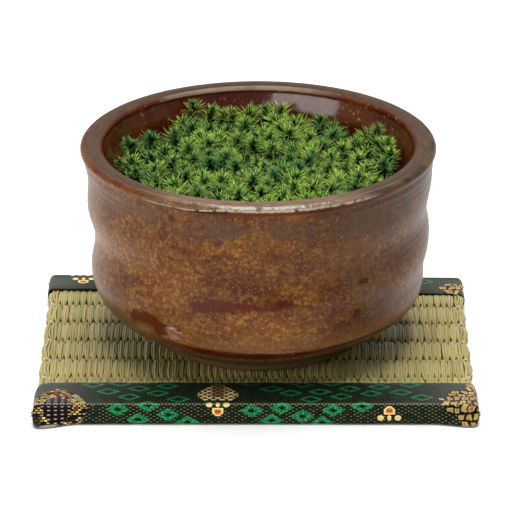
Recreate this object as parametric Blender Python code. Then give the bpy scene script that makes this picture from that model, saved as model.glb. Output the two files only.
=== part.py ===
"""A moss clump planted in a thrown stoneware tea bowl, which stands on a small woven rush mat.

Lengths are in metres and +Z is up. The origin lies under the bowl's axis, on the flat
underside of the mat. The front of the mat faces -Y.
"""
import math

import bmesh
import bpy
import numpy as np
from mathutils.geometry import delaunay_2d_cdt

MM = 0.001
FULL_TURN = 2.0 * math.pi

# Clearance kept between pieces that touch
GAP = 0.3 * MM

# Mat: the bindings' length along X, the depth along Y, and the heights of its layers
MAT_LENGTH = 150.0 * MM
MAT_DEPTH = 109.1 * MM
MAT_CENTRE_X = -0.8 * MM
MAT_FRONT_Y = -62.7 * MM
RUSH_TOP = 7.2 * MM
RUSH_PRESSED_TOP = 6.6 * MM
RUSH_WIDTH = 147.4 * MM
RUSH_THICKNESS = 1.2 * MM
RUSH_EDGE_ROUND = 1.1 * MM
BACKING_THICKNESS = 0.8 * MM
BACKING_CORNER = 1.0 * MM
CLOTH_THICKNESS = 0.5 * MM
MAT_HEIGHT = 7.4 * MM

# The hand-cut mat is deeper at its left end than at its right end, by this each way
MAT_SKEW = 1.4 * MM

# Width of each binding on top of the mat, and how much the back one widens to the right
FRONT_BINDING_WIDTH = 17.6 * MM
BACK_BINDING_WIDTH = 13.8 * MM
BACK_BINDING_TAPER = 1.4 * MM
BINDING_UNDERLAP = 11.6 * MM
BINDING_CORNER = 2.6 * MM
BINDING_WALL = 1.0 * MM

# The bindings' pocket: its corners, how far its cutters run past what they cut, and how
# high the cut goes that shortens the lower flap
POCKET_CORNER = 1.5 * MM
CUTTER_OVERRUN = 20.0 * MM
UNDERLAP_CUT = (-1.0 * MM, 2.0 * MM)

# Weave: a row line every 15.2 mm, the first one this far behind the front edge
WEAVE_ROW = 15.2 * MM
FIRST_ROW_LINE = 23.2 * MM
WEAVE_RELIEF = 0.45 * MM
SIDE_SCALLOP = 0.4 * MM
WEAVE_STEP = 0.2 * MM

# The bowl stands on the rush, and its rings have this many points
BOWL_BASE = RUSH_TOP
AROUND = 48

# Rolled lip, in millimetres: the upper part of an ellipse, from the first angle to the last
RIM_RADIUS = 61.2
RIM_HEIGHT = 70.9
LIP_HALF_WIDTH = 3.8
LIP_HALF_HEIGHT = 2.0
LIP_ANGLES = (-40.0, 190.0)
LIP_STEPS = 8

# Bowl sections as (radius, height) stations in millimetres, measured from the rush
UNDERSIDE = ((14.0, 4.1), (26.5, 3.9), (28.2, 2.8), (28.7, 0.7), (29.4, 0.3))
FOOT = ((35.9, 0.3), (36.8, 0.9), (37.1, 2.6))
WALL = (
    (39.6, 4.4), (44.4, 7.2), (49.6, 10.4), (53.6, 13.6), (56.4, 17.6), (57.6, 22.2),
    (57.7, 27.4), (57.8, 32.8), (58.0, 38.2), (58.4, 43.6), (58.7, 49.0), (59.0, 54.2),
    (59.3, 59.0), (59.7, 62.6), (60.1, 65.2),
)
INSIDE = (
    (53.3, 67.2), (52.3, 64.0), (51.3, 60.8), (50.6, 58.0), (50.5, 54.0), (50.4, 47.0), (49.9, 38.0),
    (48.8, 28.0), (45.5, 19.8), (38.5, 13.4), (27.0, 10.1), (13.0, 9.1),
)
UNDERSIDE_CENTRE = 4.2
INSIDE_CENTRE = 8.9

# Spiral throwing ring: it rises by one pitch a turn, and its depth changes with height
SPIRAL_PITCH = 25.1
SPIRAL_START = 37.2
SPIRAL_DEPTH = ((8.0, 0.0), (18.0, 0.8), (30.0, 1.1), (45.0, 1.1), (58.0, 0.4), (66.0, 0.0))

# Off-round lean of the wall toward +X, by height, as thrown
WALL_LEAN = ((0.0, 0.0), (14.0, -0.1), (24.0, 0.8), (36.0, 0.2), (50.0, 0.6), (62.0, 0.2), (68.0, 0.0))

# Soil and moss, in millimetres; heights are measured from the top of the rush
SOIL_TOP = 51.0
SOIL_EDGE = 1.0
SOIL_RING_SHARES = (0.985, 0.5)
SOIL_CLEARANCE = 0.4
MOSS_RADIUS = 49.4
MOSS_EDGE_WAVE = 0.5
SHOOT_COUNT = 132
SHOOT_REACH = 46.8
SHOOT_JITTER = 1.1
SHOOT_CLEARANCE = 6.2
SHOOT_DEPTH = 6.2
SHOOT_DEPTH_RANGE = (-1.1, 1.3)
BACK_RISE = 1.6
MOSS_FLOOR = 5.0
SEED = 11

# Leading shoots: x, y and how far the tip stands below the rim, in millimetres
LEADING_SHOOTS = (
    (-23.0, 43.5, 0.6), (-16.0, 43.0, 2.2), (-9.5, 42.5, 3.0), (-3.0, 43.0, 3.2),
    (2.5, 44.0, 2.6), (8.5, 44.0, 2.2), (13.0, 36.0, 4.4), (22.0, 38.0, 4.0),
    (27.0, 32.0, 6.8), (34.0, 19.5, 5.2), (38.0, 23.5, 4.4), (42.0, 21.5, 1.2),
    (45.5, 13.0, 2.6), (46.0, 5.0, 3.4), (37.0, -7.0, 5.0), (43.5, -2.5, 5.0),
    (-45.5, 10.0, 1.6), (-38.0, 24.0, 5.0), (-43.5, 0.5, 4.6), (-42.0, -8.0, 5.6),
    (-35.5, -7.0, 5.0), (-29.5, 27.0, 5.6), (-32.0, 15.0, 6.4), (-0.5, 6.0, 7.4),
)

# Bare patches by the wall, where the inside of the bowl shows: x, y and radius
BARE_PATCHES = ((-34.0, 36.0, 8.5), (34.5, 33.0, 7.5))

# Each shoot's form: how steeply it falls away from its tip, and the star's points
SHOOT_POINTS = 6
SHOOT_FALL = 1.0
SHOOT_STAR = 0.4
SHOOT_RIDGE_REACH = 3.2
SHOOT_NOTCH_REACH = 2.2
STAR_MARGIN = 0.45

# Outlines of the shoots' cells, and how far a tuft's outline is moved in from them
CLUMP_SIDES = 60
CELL_GRID = 0.25
OUTLINE_STEP = 2.6
TUFT_INSET = 0.18
LEAST_SLANT = 0.6

# Centres of the planted tufts, x and y in millimetres
TUFTS = {
    "moss_left": (-37.0, 4.0),
    "moss_back_left": (-20.0, 33.0),
    "moss_back_right": (12.0, 33.0),
    "moss_right": (39.0, 10.0),
    "moss_front_left": (-20.0, -26.0),
    "moss_front_right": (21.0, -27.0),
    "moss_middle": (1.0, 2.0),
}


def clear_scene():
    """Removes every object that the scene starts with."""
    for item in list(bpy.data.objects):
        bpy.data.objects.remove(item, do_unlink=True)


def finish(name, colour, roughness, metallic=0.0):
    """Makes a Principled material."""
    material = bpy.data.materials.new(name)
    material.use_nodes = True
    shader = material.node_tree.nodes["Principled BSDF"]
    shader.inputs["Base Color"].default_value = (*colour, 1.0)
    shader.inputs["Roughness"].default_value = roughness
    shader.inputs["Metallic"].default_value = metallic
    return material


def add_object(name, mesh, material):
    """Links a mesh to the scene as one named object with its material."""
    item = bpy.data.objects.new(name, mesh)
    item.data.materials.append(material)
    bpy.context.scene.collection.objects.link(item)
    return item


def solid(name, points, faces, material, sharp_angle=35.0):
    """Builds a closed mesh from points and faces, with its faces pointing out."""
    mesh = bpy.data.meshes.new(name)
    mesh.from_pydata([tuple(p) for p in points], [], faces)
    edit = bmesh.new()
    edit.from_mesh(mesh)
    bmesh.ops.recalc_face_normals(edit, faces=edit.faces)
    edit.to_mesh(mesh)
    edit.free()
    mesh.shade_smooth()
    mesh.set_sharp_from_angle(angle=math.radians(sharp_angle))
    return add_object(name, mesh, material)


def by_height(stations, height):
    """Reads a value from (height, value) stations, with straight lines between them."""
    return np.interp(height, [s[0] for s in stations], [s[1] for s in stations])


def pole_to_pole(low_pole, rings, high_pole):
    """Joins rings of points, and a pole at each end, into one closed skin."""
    count = rings.shape[1]
    points = np.vstack([[low_pole], rings.reshape(-1, 3), [high_pole]])
    last = len(points) - 1
    faces = []
    for i in range(count):
        j = (i + 1) % count
        faces.append((0, 1 + j, 1 + i))
        for ring in range(len(rings) - 1):
            start = 1 + ring * count
            faces.append((start + i, start + j, start + count + j, start + count + i))
        start = 1 + (len(rings) - 1) * count
        faces.append((start + i, start + j, last))
    return points, faces


def wall_offset(height, turn):
    """Gives how far the outer wall stands off its round section, in millimetres.

    The spiral ring is a cosine of height less the ring's own height, which rises with the turn.
    """
    depth = by_height(SPIRAL_DEPTH, height)
    wave = (height - SPIRAL_START) / SPIRAL_PITCH - (turn - 0.5)
    lean = by_height(WALL_LEAN, height)
    return lean * np.cos(FULL_TURN * turn) - depth * np.cos(FULL_TURN * wave)


def turned_ring(radius, height, is_wall=False):
    """Makes one ring of the bowl at a height above the rush; its turn is counted from +X."""
    turn = np.arange(AROUND) / AROUND
    reach = np.full(AROUND, radius)
    if is_wall:
        reach = reach + wall_offset(height, turn)
    angle = FULL_TURN * turn
    ring = np.stack([reach * np.cos(angle), reach * np.sin(angle), np.full(AROUND, height)], axis=1)
    ring *= MM
    ring[:, 2] += BOWL_BASE
    return ring


def lip_stations():
    """Gives the lip's (radius, height) stations along its ellipse, from outside to inside."""
    angles = np.radians(np.linspace(*LIP_ANGLES, LIP_STEPS))
    radii = RIM_RADIUS - LIP_HALF_WIDTH * (1.0 - np.cos(angles))
    heights = RIM_HEIGHT - LIP_HALF_HEIGHT * (1.0 - np.sin(angles))
    return tuple(zip(radii, heights))


def make_bowl(material):
    """Turns the bowl from the middle of its underside to the middle of its inside."""
    rings = [turned_ring(radius, height) for radius, height in UNDERSIDE + FOOT]
    rings += [turned_ring(radius, height, is_wall=True) for radius, height in WALL]
    rings += [turned_ring(radius, height) for radius, height in lip_stations() + INSIDE]
    low = (0.0, 0.0, UNDERSIDE_CENTRE * MM + BOWL_BASE)
    high = (0.0, 0.0, INSIDE_CENTRE * MM + BOWL_BASE)
    points, faces = pole_to_pole(low, np.array(rings), high)
    return solid("bowl", points, faces, material)


def make_soil(material):
    """Fills the bowl to the soil's top, clear of the glaze, with a flat upper face.

    Its rings take every second point of the bowl's.
    """
    below = [(radius - SOIL_CLEARANCE, height + SOIL_CLEARANCE)
             for radius, height in reversed(INSIDE) if height < SOIL_TOP]
    top_radius = by_height(sorted((h, r) for r, h in INSIDE), SOIL_TOP) - SOIL_CLEARANCE
    below.append((top_radius, SOIL_TOP - SOIL_EDGE))
    rings = [turned_ring(radius, height) for radius, height in below]
    rings += [turned_ring(share * top_radius, SOIL_TOP) for share in SOIL_RING_SHARES]
    low = (0.0, 0.0, (INSIDE_CENTRE + SOIL_CLEARANCE) * MM + BOWL_BASE)
    high = (0.0, 0.0, SOIL_TOP * MM + BOWL_BASE)
    points, faces = pole_to_pole(low, np.array(rings)[:, ::2], high)
    return solid("soil", points, faces, material)


def moss_edge(angle):
    """Gives the clump's outline radius in millimetres, a circle with a slow wave."""
    return MOSS_RADIUS + MOSS_EDGE_WAVE * np.sin(3.0 * angle + 0.7)


def shoot_places():
    """Places every shoot: the leading ones, then a sunflower head in the room between them.

    Shoot k of the head stands at the golden angle times k, at a radius that grows with the square
    root of k. Returns x, y and tip height above the rush in millimetres, and each star's turn.
    """
    random = np.random.default_rng(SEED)
    places = [(x, y, RIM_HEIGHT - depth) for x, y, depth in LEADING_SHOOTS]
    golden_angle = math.pi * (3.0 - math.sqrt(5.0))
    for k in range(SHOOT_COUNT):
        radius = SHOOT_REACH * math.sqrt((k + 0.5) / SHOOT_COUNT)
        x = radius * math.cos(k * golden_angle) + random.uniform(-SHOOT_JITTER, SHOOT_JITTER)
        y = radius * math.sin(k * golden_angle) + random.uniform(-SHOOT_JITTER, SHOOT_JITTER)
        depth = SHOOT_DEPTH + random.uniform(*SHOOT_DEPTH_RANGE)
        depth -= BACK_RISE * min(1.0, max(0.0, y / SHOOT_REACH))
        bare = any(math.hypot(x - px, y - py) < reach for px, py, reach in BARE_PATCHES)
        near = any(math.hypot(x - lx, y - ly) < SHOOT_CLEARANCE for lx, ly, _ in LEADING_SHOOTS)
        if not (bare or near):
            places.append((x, y, RIM_HEIGHT - depth))
    places = np.array(places)
    return places, random.uniform(0.0, FULL_TURN, len(places))


def moss_height(x, y, places, turns):
    """Gives the moss surface at a place: the highest of all shoots' star-shaped cones there.

    A cone falls from its tip in a straight line with the distance, faster in the notches of its
    star than along its ridges, and never below the floor of old moss above the soil.
    """
    across = x - places[:, 0]
    along = y - places[:, 1]
    star = 1.0 + SHOOT_STAR * np.cos(SHOOT_POINTS * np.arctan2(along, across) + turns)
    cones = places[:, 2] - SHOOT_FALL * np.hypot(across, along) * star
    return max(float(cones.max()), SOIL_TOP + MOSS_FLOOR)


def clip_outline(outline, normal, limit):
    """Cuts a convex outline at a line, keeping the points whose product with the normal is less."""
    kept = []
    for i, here in enumerate(outline):
        following = outline[(i + 1) % len(outline)]
        a = float(np.dot(here, normal)) - limit
        b = float(np.dot(following, normal)) - limit
        if a <= 0.0:
            kept.append(here)
        if a * b < 0.0:
            kept.append(here + (following - here) * a / (a - b))
    return kept


def shoot_cell(index, seeds):
    """Gives one shoot's cell: the part of the clump that lies nearer to it than to any other.

    Its corners are snapped to a fine grid, so that neighbouring cells share them exactly.
    """
    angles = np.linspace(0.0, FULL_TURN, CLUMP_SIDES, endpoint=False)
    edge = moss_edge(angles)
    cell = list(np.stack([edge * np.cos(angles), edge * np.sin(angles)], axis=1))
    here = seeds[index]
    for other in np.delete(seeds, index, axis=0):
        away = other - here
        distance = float(np.linalg.norm(away))
        if distance < 2.0 * MOSS_RADIUS:
            normal = away / distance
            cell = clip_outline(cell, normal, float(np.dot(here, normal)) + 0.5 * distance)
    corners = [tuple(float(v) for v in np.round(p / CELL_GRID) * CELL_GRID) for p in cell]
    return [c for i, c in enumerate(corners) if c != corners[i - 1]]


def joined_outline(cells):
    """Joins neighbouring cells into one outline, from the sides that only one of them has."""
    sides = {}
    for cell in cells:
        for i, here in enumerate(cell):
            following = cell[(i + 1) % len(cell)]
            if (following, here) in sides:
                del sides[(following, here)]
            else:
                sides[(here, following)] = True
    following = dict(sides.keys())
    start = next(iter(following))
    loop = [start]
    while following[loop[-1]] != start:
        loop.append(following[loop[-1]])
    return loop


def halved_sides(loop):
    """Adds the middle of each side that is long enough to bend there."""
    points = []
    for i, here in enumerate(loop):
        here = np.array(here)
        following = np.array(loop[(i + 1) % len(loop)])
        points.append(here)
        if float(np.linalg.norm(following - here)) > OUTLINE_STEP:
            points.append(0.5 * (here + following))
    return np.array(points)


def inset_outline(points, distance):
    """Moves an outline inward by a distance, along the mean of the two sides' normals."""
    ahead = np.roll(points, -1, axis=0) - points
    ahead /= np.linalg.norm(ahead, axis=1, keepdims=True)
    inward = np.stack([-ahead[:, 1], ahead[:, 0]], axis=1)
    mean = inward + np.roll(inward, 1, axis=0)
    mean /= np.linalg.norm(mean, axis=1, keepdims=True)
    slant = np.maximum(LEAST_SLANT, np.sum(mean * inward, axis=1, keepdims=True))
    return points + mean * distance / slant


def inside_cell(point, cell):
    """Gives how far a point lies inside a cell, negative when it lies outside."""
    nearest = math.inf
    for i, here in enumerate(cell):
        side = np.array(cell[(i + 1) % len(cell)]) - np.array(here)
        offset = point - np.array(here)
        across = float(side[0] * offset[1] - side[1] * offset[0]) / float(np.linalg.norm(side))
        nearest = min(nearest, across)
    return nearest


def star_points(place, turn, cell):
    """Picks the points that shape one shoot: its tip, and its star's ridges and notches.

    Returns the points, and the numbers of those that lie at the end of a ridge.
    """
    points = [place[:2]]
    ridges = []
    for k in range(2 * SHOOT_POINTS):
        reach = SHOOT_RIDGE_REACH if k % 2 else SHOOT_NOTCH_REACH
        angle = (math.pi * k - turn) / SHOOT_POINTS
        point = place[:2] + reach * np.array((math.cos(angle), math.sin(angle)))
        if inside_cell(point, cell) > STAR_MARGIN:
            if k % 2:
                ridges.append(len(points))
            points.append(point)
    return points, ridges


def nearest_tuft(place):
    """Names the tuft whose centre is nearest to a shoot."""
    return min(TUFTS, key=lambda name: math.hypot(place[0] - TUFTS[name][0], place[1] - TUFTS[name][1]))


def make_tuft(name, places, turns, cells, material):
    """Raises one tuft from the soil: its outline and shoot points, joined by flat triangles."""
    members = [i for i, place in enumerate(places) if nearest_tuft(place) == name]
    loop = joined_outline([cells[i] for i in members])
    outline = inset_outline(halved_sides(loop), TUFT_INSET)
    rim = len(outline)
    flat = list(outline)
    ridge_lines = []
    for i in members:
        points, ridges = star_points(places[i], turns[i], cells[i])
        ridge_lines += [(len(flat), len(flat) + ridge) for ridge in ridges]
        flat += points
    valleys = {corner for i in members for corner in cells[i]} - set(loop)
    flat += sorted(valleys)
    corners, _, triangles, _, _, _ = delaunay_2d_cdt(
        [tuple(map(float, p)) for p in flat], ridge_lines, [list(range(rim))], 1, 1e-4)
    top = [(c[0], c[1], moss_height(c[0], c[1], places, turns)) for c in corners]
    base = SOIL_TOP + GAP / MM
    first = len(top)
    faces = [tuple(t) for t in triangles]
    faces += [(i, (i + 1) % rim, first + (i + 1) % rim, first + i) for i in range(rim)]
    faces.append(tuple(range(first, first + rim)))
    points = np.array(top + [(c[0], c[1], base) for c in corners[:rim]]) * MM
    points[:, 2] += BOWL_BASE
    return solid(name, points, faces, material, sharp_angle=60.0)


def make_moss(material):
    """Plants the shoots, gives each its cell, and raises the tufts that they form together."""
    places, turns = shoot_places()
    bare = np.array([patch[:2] for patch in BARE_PATCHES])
    seeds = np.vstack([places[:, :2], bare])
    cells = [shoot_cell(i, seeds) for i in range(len(places))]
    for name in TUFTS:
        make_tuft(name, places, turns, cells, material)


def mat_point(x, behind, z):
    """Places a point of the mat: x from its middle, the distance behind its front edge, height.

    The distance is stretched toward the left end and shortened toward the right end.
    """
    stretch = 1.0 - (MAT_SKEW / MAT_DEPTH) * x / (0.5 * MAT_LENGTH)
    return (x + MAT_CENTRE_X, MAT_FRONT_Y + behind * stretch, z)


def mat_block(name, low, high, corner, material):
    """Makes a flat block of the mat with rounded upright corners, between two of its corners."""
    edit = bmesh.new()
    bmesh.ops.create_cube(edit, size=1.0)
    for vertex in edit.verts:
        for axis in range(3):
            middle = 0.5 * (low[axis] + high[axis])
            vertex.co[axis] = middle + vertex.co[axis] * (high[axis] - low[axis])
    upright = [e for e in edit.edges if abs(e.verts[0].co.z - e.verts[1].co.z) > 0.5 * (high[2] - low[2])]
    bmesh.ops.bevel(edit, geom=upright, offset=corner, segments=3, profile=0.5, affect="EDGES")
    for vertex in edit.verts:
        vertex.co = mat_point(*vertex.co)
    mesh = bpy.data.meshes.new(name)
    edit.to_mesh(mesh)
    edit.free()
    mesh.shade_smooth()
    mesh.set_sharp_from_angle(angle=math.radians(35.0))
    return add_object(name, mesh, material)


def make_board(material):
    """Makes the stiff board that the rush and the bindings are wrapped round."""
    half = 0.5 * RUSH_WIDTH - RUSH_THICKNESS - GAP
    edge = BINDING_WALL + GAP
    low = (-half, edge, BACKING_THICKNESS + GAP)
    high = (half, MAT_DEPTH - edge, RUSH_PRESSED_TOP - RUSH_THICKNESS - GAP)
    return mat_block("mat_board", low, high, BINDING_CORNER, material)


def rush_section(behind):
    """Gives the rush cover's outline across the mat at a distance behind the front edge.

    Rows of floats swell between the row lines; under the bindings the rush is pressed flat.
    """
    open_start = FRONT_BINDING_WIDTH
    open_end = MAT_DEPTH - BACK_BINDING_WIDTH - BACK_BINDING_TAPER
    swell = abs(math.sin(math.pi * (behind - FIRST_ROW_LINE) / WEAVE_ROW))
    is_open = open_start < behind < open_end
    top = RUSH_TOP - WEAVE_RELIEF * (1.0 - swell) if is_open else RUSH_PRESSED_TOP
    side = 0.5 * RUSH_WIDTH - (SIDE_SCALLOP * (1.0 - swell) if is_open else SIDE_SCALLOP)
    inner = 0.5 * RUSH_WIDTH - RUSH_THICKNESS
    ceiling = RUSH_PRESSED_TOP - RUSH_THICKNESS
    low = BACKING_THICKNESS + GAP
    shoulder = (1.0 - math.sqrt(0.5)) * RUSH_EDGE_ROUND
    half = [(side, low), (side, top - RUSH_EDGE_ROUND), (side - shoulder, top - shoulder),
            (side - RUSH_EDGE_ROUND, top)]
    mirrored = [(-x, z) for x, z in reversed(half)]
    return half + mirrored + [(-inner, low), (-inner, ceiling), (inner, ceiling), (inner, low)]


def make_rush(material):
    """Lofts the rush cover along the mat, four sections to each row of the weave."""
    edge = BINDING_WALL + GAP
    open_end = MAT_DEPTH - BACK_BINDING_WIDTH - BACK_BINDING_TAPER
    stations = [edge, FRONT_BINDING_WIDTH, FRONT_BINDING_WIDTH + WEAVE_STEP]
    stations += list(np.arange(FIRST_ROW_LINE, open_end, 0.25 * WEAVE_ROW))
    stations += [open_end, MAT_DEPTH - edge]
    loops = [[mat_point(x, s, z) for x, z in rush_section(s)] for s in stations]
    count = len(loops[0])
    points = [p for loop in loops for p in loop]
    faces = []
    for k in range(len(loops) - 1):
        start = k * count
        for i in range(count):
            j = (i + 1) % count
            faces.append((start + i, start + j, start + count + j, start + count + i))
    faces.append(tuple(range(count)))
    faces.append(tuple(range(len(points) - count, len(points))))
    return solid("rush_facing", points, faces, material)


def make_binding(name, inner_edge, outer_edge, taper, material):
    """Folds one binding round a long edge: a block with a pocket for the board and the rush.

    The pocket is open toward the middle of the mat; the lower flap is narrower than the upper.
    """
    half = 0.5 * MAT_LENGTH
    inward = 1.0 if inner_edge > outer_edge else -1.0
    low = (-half, min(inner_edge, outer_edge), 0.0)
    high = (half, max(inner_edge, outer_edge), MAT_HEIGHT)
    binding = mat_block(name, low, high, BINDING_CORNER, material)
    for vertex in binding.data.vertices:
        behind = vertex.co.y - MAT_FRONT_Y
        if abs(behind - inner_edge) < 2.0 * BINDING_CORNER:
            vertex.co.y -= taper * (vertex.co.x - MAT_CENTRE_X) / half
    inner_half = half - BINDING_WALL
    end = inner_edge + inward * CUTTER_OVERRUN
    cutters = []
    for suffix, depth, bottom, top in (
            ("_pocket", BINDING_WALL, CLOTH_THICKNESS, MAT_HEIGHT - CLOTH_THICKNESS),
            ("_underlap", BINDING_UNDERLAP, *UNDERLAP_CUT)):
        start = outer_edge + inward * depth
        low = (-inner_half, min(start, end), bottom)
        high = (inner_half, max(start, end), top)
        cutters.append(mat_block(name + suffix, low, high, POCKET_CORNER, material))
    for cutter in cutters:
        cutter.hide_render = True
        cutter.display_type = "WIRE"
        cut = binding.modifiers.new(cutter.name, "BOOLEAN")
        cut.operation = "DIFFERENCE"
        cut.solver = "EXACT"
        cut.object = cutter
    return binding


def make_backing(material):
    """Lays the backing sheet between the under-flaps of the two bindings."""
    half = 0.5 * MAT_LENGTH - BINDING_WALL - GAP
    margin = BINDING_UNDERLAP + GAP
    low = (-half, margin, 0.0)
    high = (half, MAT_DEPTH - margin, BACKING_THICKNESS)
    return mat_block("backing_sheet", low, high, BACKING_CORNER, material)


def make_mat():
    """Builds the mat's five pieces."""
    board = finish("board", (0.55, 0.45, 0.32), 0.85)
    rush = finish("rush", (0.60, 0.55, 0.30), 0.60)
    brocade = finish("brocade", (0.03, 0.10, 0.06), 0.55)
    backing = finish("backing", (0.10, 0.10, 0.09), 0.80)
    make_backing(backing)
    make_board(board)
    make_rush(rush)
    make_binding("binding_front", FRONT_BINDING_WIDTH, 0.0, 0.0, brocade)
    make_binding("binding_back", MAT_DEPTH - BACK_BINDING_WIDTH, MAT_DEPTH, BACK_BINDING_TAPER, brocade)


def make_planting():
    """Builds the bowl, the soil in it and the tufts of moss on the soil."""
    make_bowl(finish("glaze", (0.20, 0.10, 0.05), 0.30))
    make_soil(finish("earth", (0.05, 0.035, 0.025), 0.95))
    make_moss(finish("moss", (0.10, 0.22, 0.05), 0.70))


clear_scene()
make_mat()
make_planting()
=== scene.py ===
"""Visual model of a moss clump in a glazed tea bowl, which stands on a small woven rush mat.

Lengths are in metres and +Z is up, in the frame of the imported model. The origin lies under the
bowl's axis on the mat's flat underside, and the front of the mat faces -Y.
"""
import logging
import math
from dataclasses import dataclass, field
from enum import Enum
from functools import partial, reduce

import bpy
import numpy as np
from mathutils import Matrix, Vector


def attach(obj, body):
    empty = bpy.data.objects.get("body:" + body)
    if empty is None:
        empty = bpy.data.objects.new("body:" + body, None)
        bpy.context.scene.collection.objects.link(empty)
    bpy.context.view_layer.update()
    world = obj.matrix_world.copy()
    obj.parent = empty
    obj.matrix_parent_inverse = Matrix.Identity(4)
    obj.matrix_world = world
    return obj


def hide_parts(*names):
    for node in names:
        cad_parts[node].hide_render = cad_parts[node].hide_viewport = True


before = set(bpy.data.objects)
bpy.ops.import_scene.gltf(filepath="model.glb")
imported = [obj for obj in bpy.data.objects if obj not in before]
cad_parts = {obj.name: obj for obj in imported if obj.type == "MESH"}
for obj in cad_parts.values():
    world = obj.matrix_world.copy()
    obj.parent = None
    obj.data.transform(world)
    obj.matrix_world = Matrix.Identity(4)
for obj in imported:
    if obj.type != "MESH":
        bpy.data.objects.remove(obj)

MM = 0.001
FULL_TURN = 2.0 * math.pi
GOLDEN_ANGLE = math.pi * (3.0 - math.sqrt(5.0))
BODY = "root"
TUBE_SIDES = 6

Array = np.ndarray
Socket = bpy.types.NodeSocket
Value = float | Socket
Colour = tuple[float, float, float]
Pair = tuple[float, float]
Fade = Pair
Place = tuple[Socket, Socket]
Zone = tuple[tuple[str, float, float], ...]

log = logging.getLogger("moss_bowl")


def tone(red: float, green: float, blue: float) -> Colour:
    """Turns a screen colour of 0 to 255 into the linear one that a shader takes.

    Each channel c/255 becomes ((c + 0.055) / 1.055) to the power 2.4, or c / 12.92 when it is low.

    Args:
        red: Red on the screen.
        green: Green on the screen.
        blue: Blue on the screen.

    Returns:
        The linear colour.
    """
    screen = np.array((red, green, blue)) / 255.0
    linear = np.where(screen > 0.04045, ((screen + 0.055) / 1.055) ** 2.4, screen / 12.92)
    return tuple(float(c) for c in linear)


def smooth_step(value: Array, low: float, high: float) -> Array:
    """Rises from 0 at low to 1 at high along 3t^2 - 2t^3."""
    share = np.clip((value - low) / (high - low), 0.0, 1.0)
    return share * share * (3.0 - 2.0 * share)


def smooth_line(stations: Array, counts: Array) -> Array:
    """Carries a smooth curve through stations: a cubic Hermite between each two neighbours.

    Args:
        stations: The points to pass through, one row each.
        counts: How many samples to put on each stretch between two stations.

    Returns:
        The samples, from the first station to the last.
    """
    steps = np.linalg.norm(np.diff(stations[:, :2], axis=0), axis=1)
    chord = np.concatenate([[0.0], np.cumsum(steps)])
    tangents = np.gradient(stations, chord, axis=0)
    which = np.repeat(np.arange(len(counts)), counts)
    first = np.concatenate([[0], np.cumsum(counts)[:-1]])
    t = ((np.arange(len(which)) - first[which]) / counts[which])[:, None]
    span = steps[which][:, None]
    line = (
        (2 * t**3 - 3 * t**2 + 1) * stations[which]
        + (t**3 - 2 * t**2 + t) * span * tangents[which]
        + (3 * t**2 - 2 * t**3) * stations[which + 1]
        + (t**3 - t**2) * span * tangents[which + 1]
    )
    return np.vstack([line, stations[-1:]])


def grid_quads(rows: int, columns: int, round_columns: bool = False) -> Array:
    """Gives the quads of a grid of points: (i, j), (i, j+1), (i+1, j+1), (i+1, j).

    Args:
        rows: Number of rows of points.
        columns: Number of points in a row.
        round_columns: Whether each row closes on itself.

    Returns:
        One row of four point numbers for each quad.
    """
    i, j = np.meshgrid(
        np.arange(rows - 1), np.arange(columns if round_columns else columns - 1), indexing="ij")
    after = (j + 1) % columns
    corners = [i * columns + j, i * columns + after, (i + 1) * columns + after, (i + 1) * columns + j]
    return np.stack(corners, axis=-1).reshape(-1, 4)


def signed_volume(points: Array, quads: Array, triangles: Array) -> float:
    """Sums the volumes of the tetrahedra that each triangle makes with the origin.

    Args:
        points: The points of the surface.
        quads: Its faces of four points.
        triangles: Its faces of three points.

    Returns:
        The volume, below 0 where the faces point inward.
    """
    halves = [triangles, quads[:, [0, 1, 2]], quads[:, [0, 2, 3]]]
    corners = points[np.vstack(halves)]
    return float(np.einsum("ij,ij->i", corners[:, 0], np.cross(corners[:, 1], corners[:, 2])).sum()) / 6.0


def turns_round(around: int) -> Array:
    """Gives a row of that many angles, evenly spaced round a full turn."""
    return FULL_TURN * np.arange(around)[None, :] / around


def tube_quads(count: int, rings: int) -> Array:
    """Gives the faces of six-sided tubes, whose points follow one another ring by ring.

    Each tube's wall is a grid of quads that closes on itself, and two quads close either end.

    Args:
        count: Number of tubes.
        rings: Rings of points along a tube.

    Returns:
        Four point numbers for each face of each tube.
    """
    wall = grid_quads(rings, TUBE_SIDES, True)
    cap = np.array([[0, 3, 2, 1], [0, 5, 4, 3]])
    faces = np.vstack([wall, cap, cap[:, ::-1] + (rings - 1) * TUBE_SIDES])
    return faces + rings * TUBE_SIDES * np.arange(count).reshape(-1, 1, 1)


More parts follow.
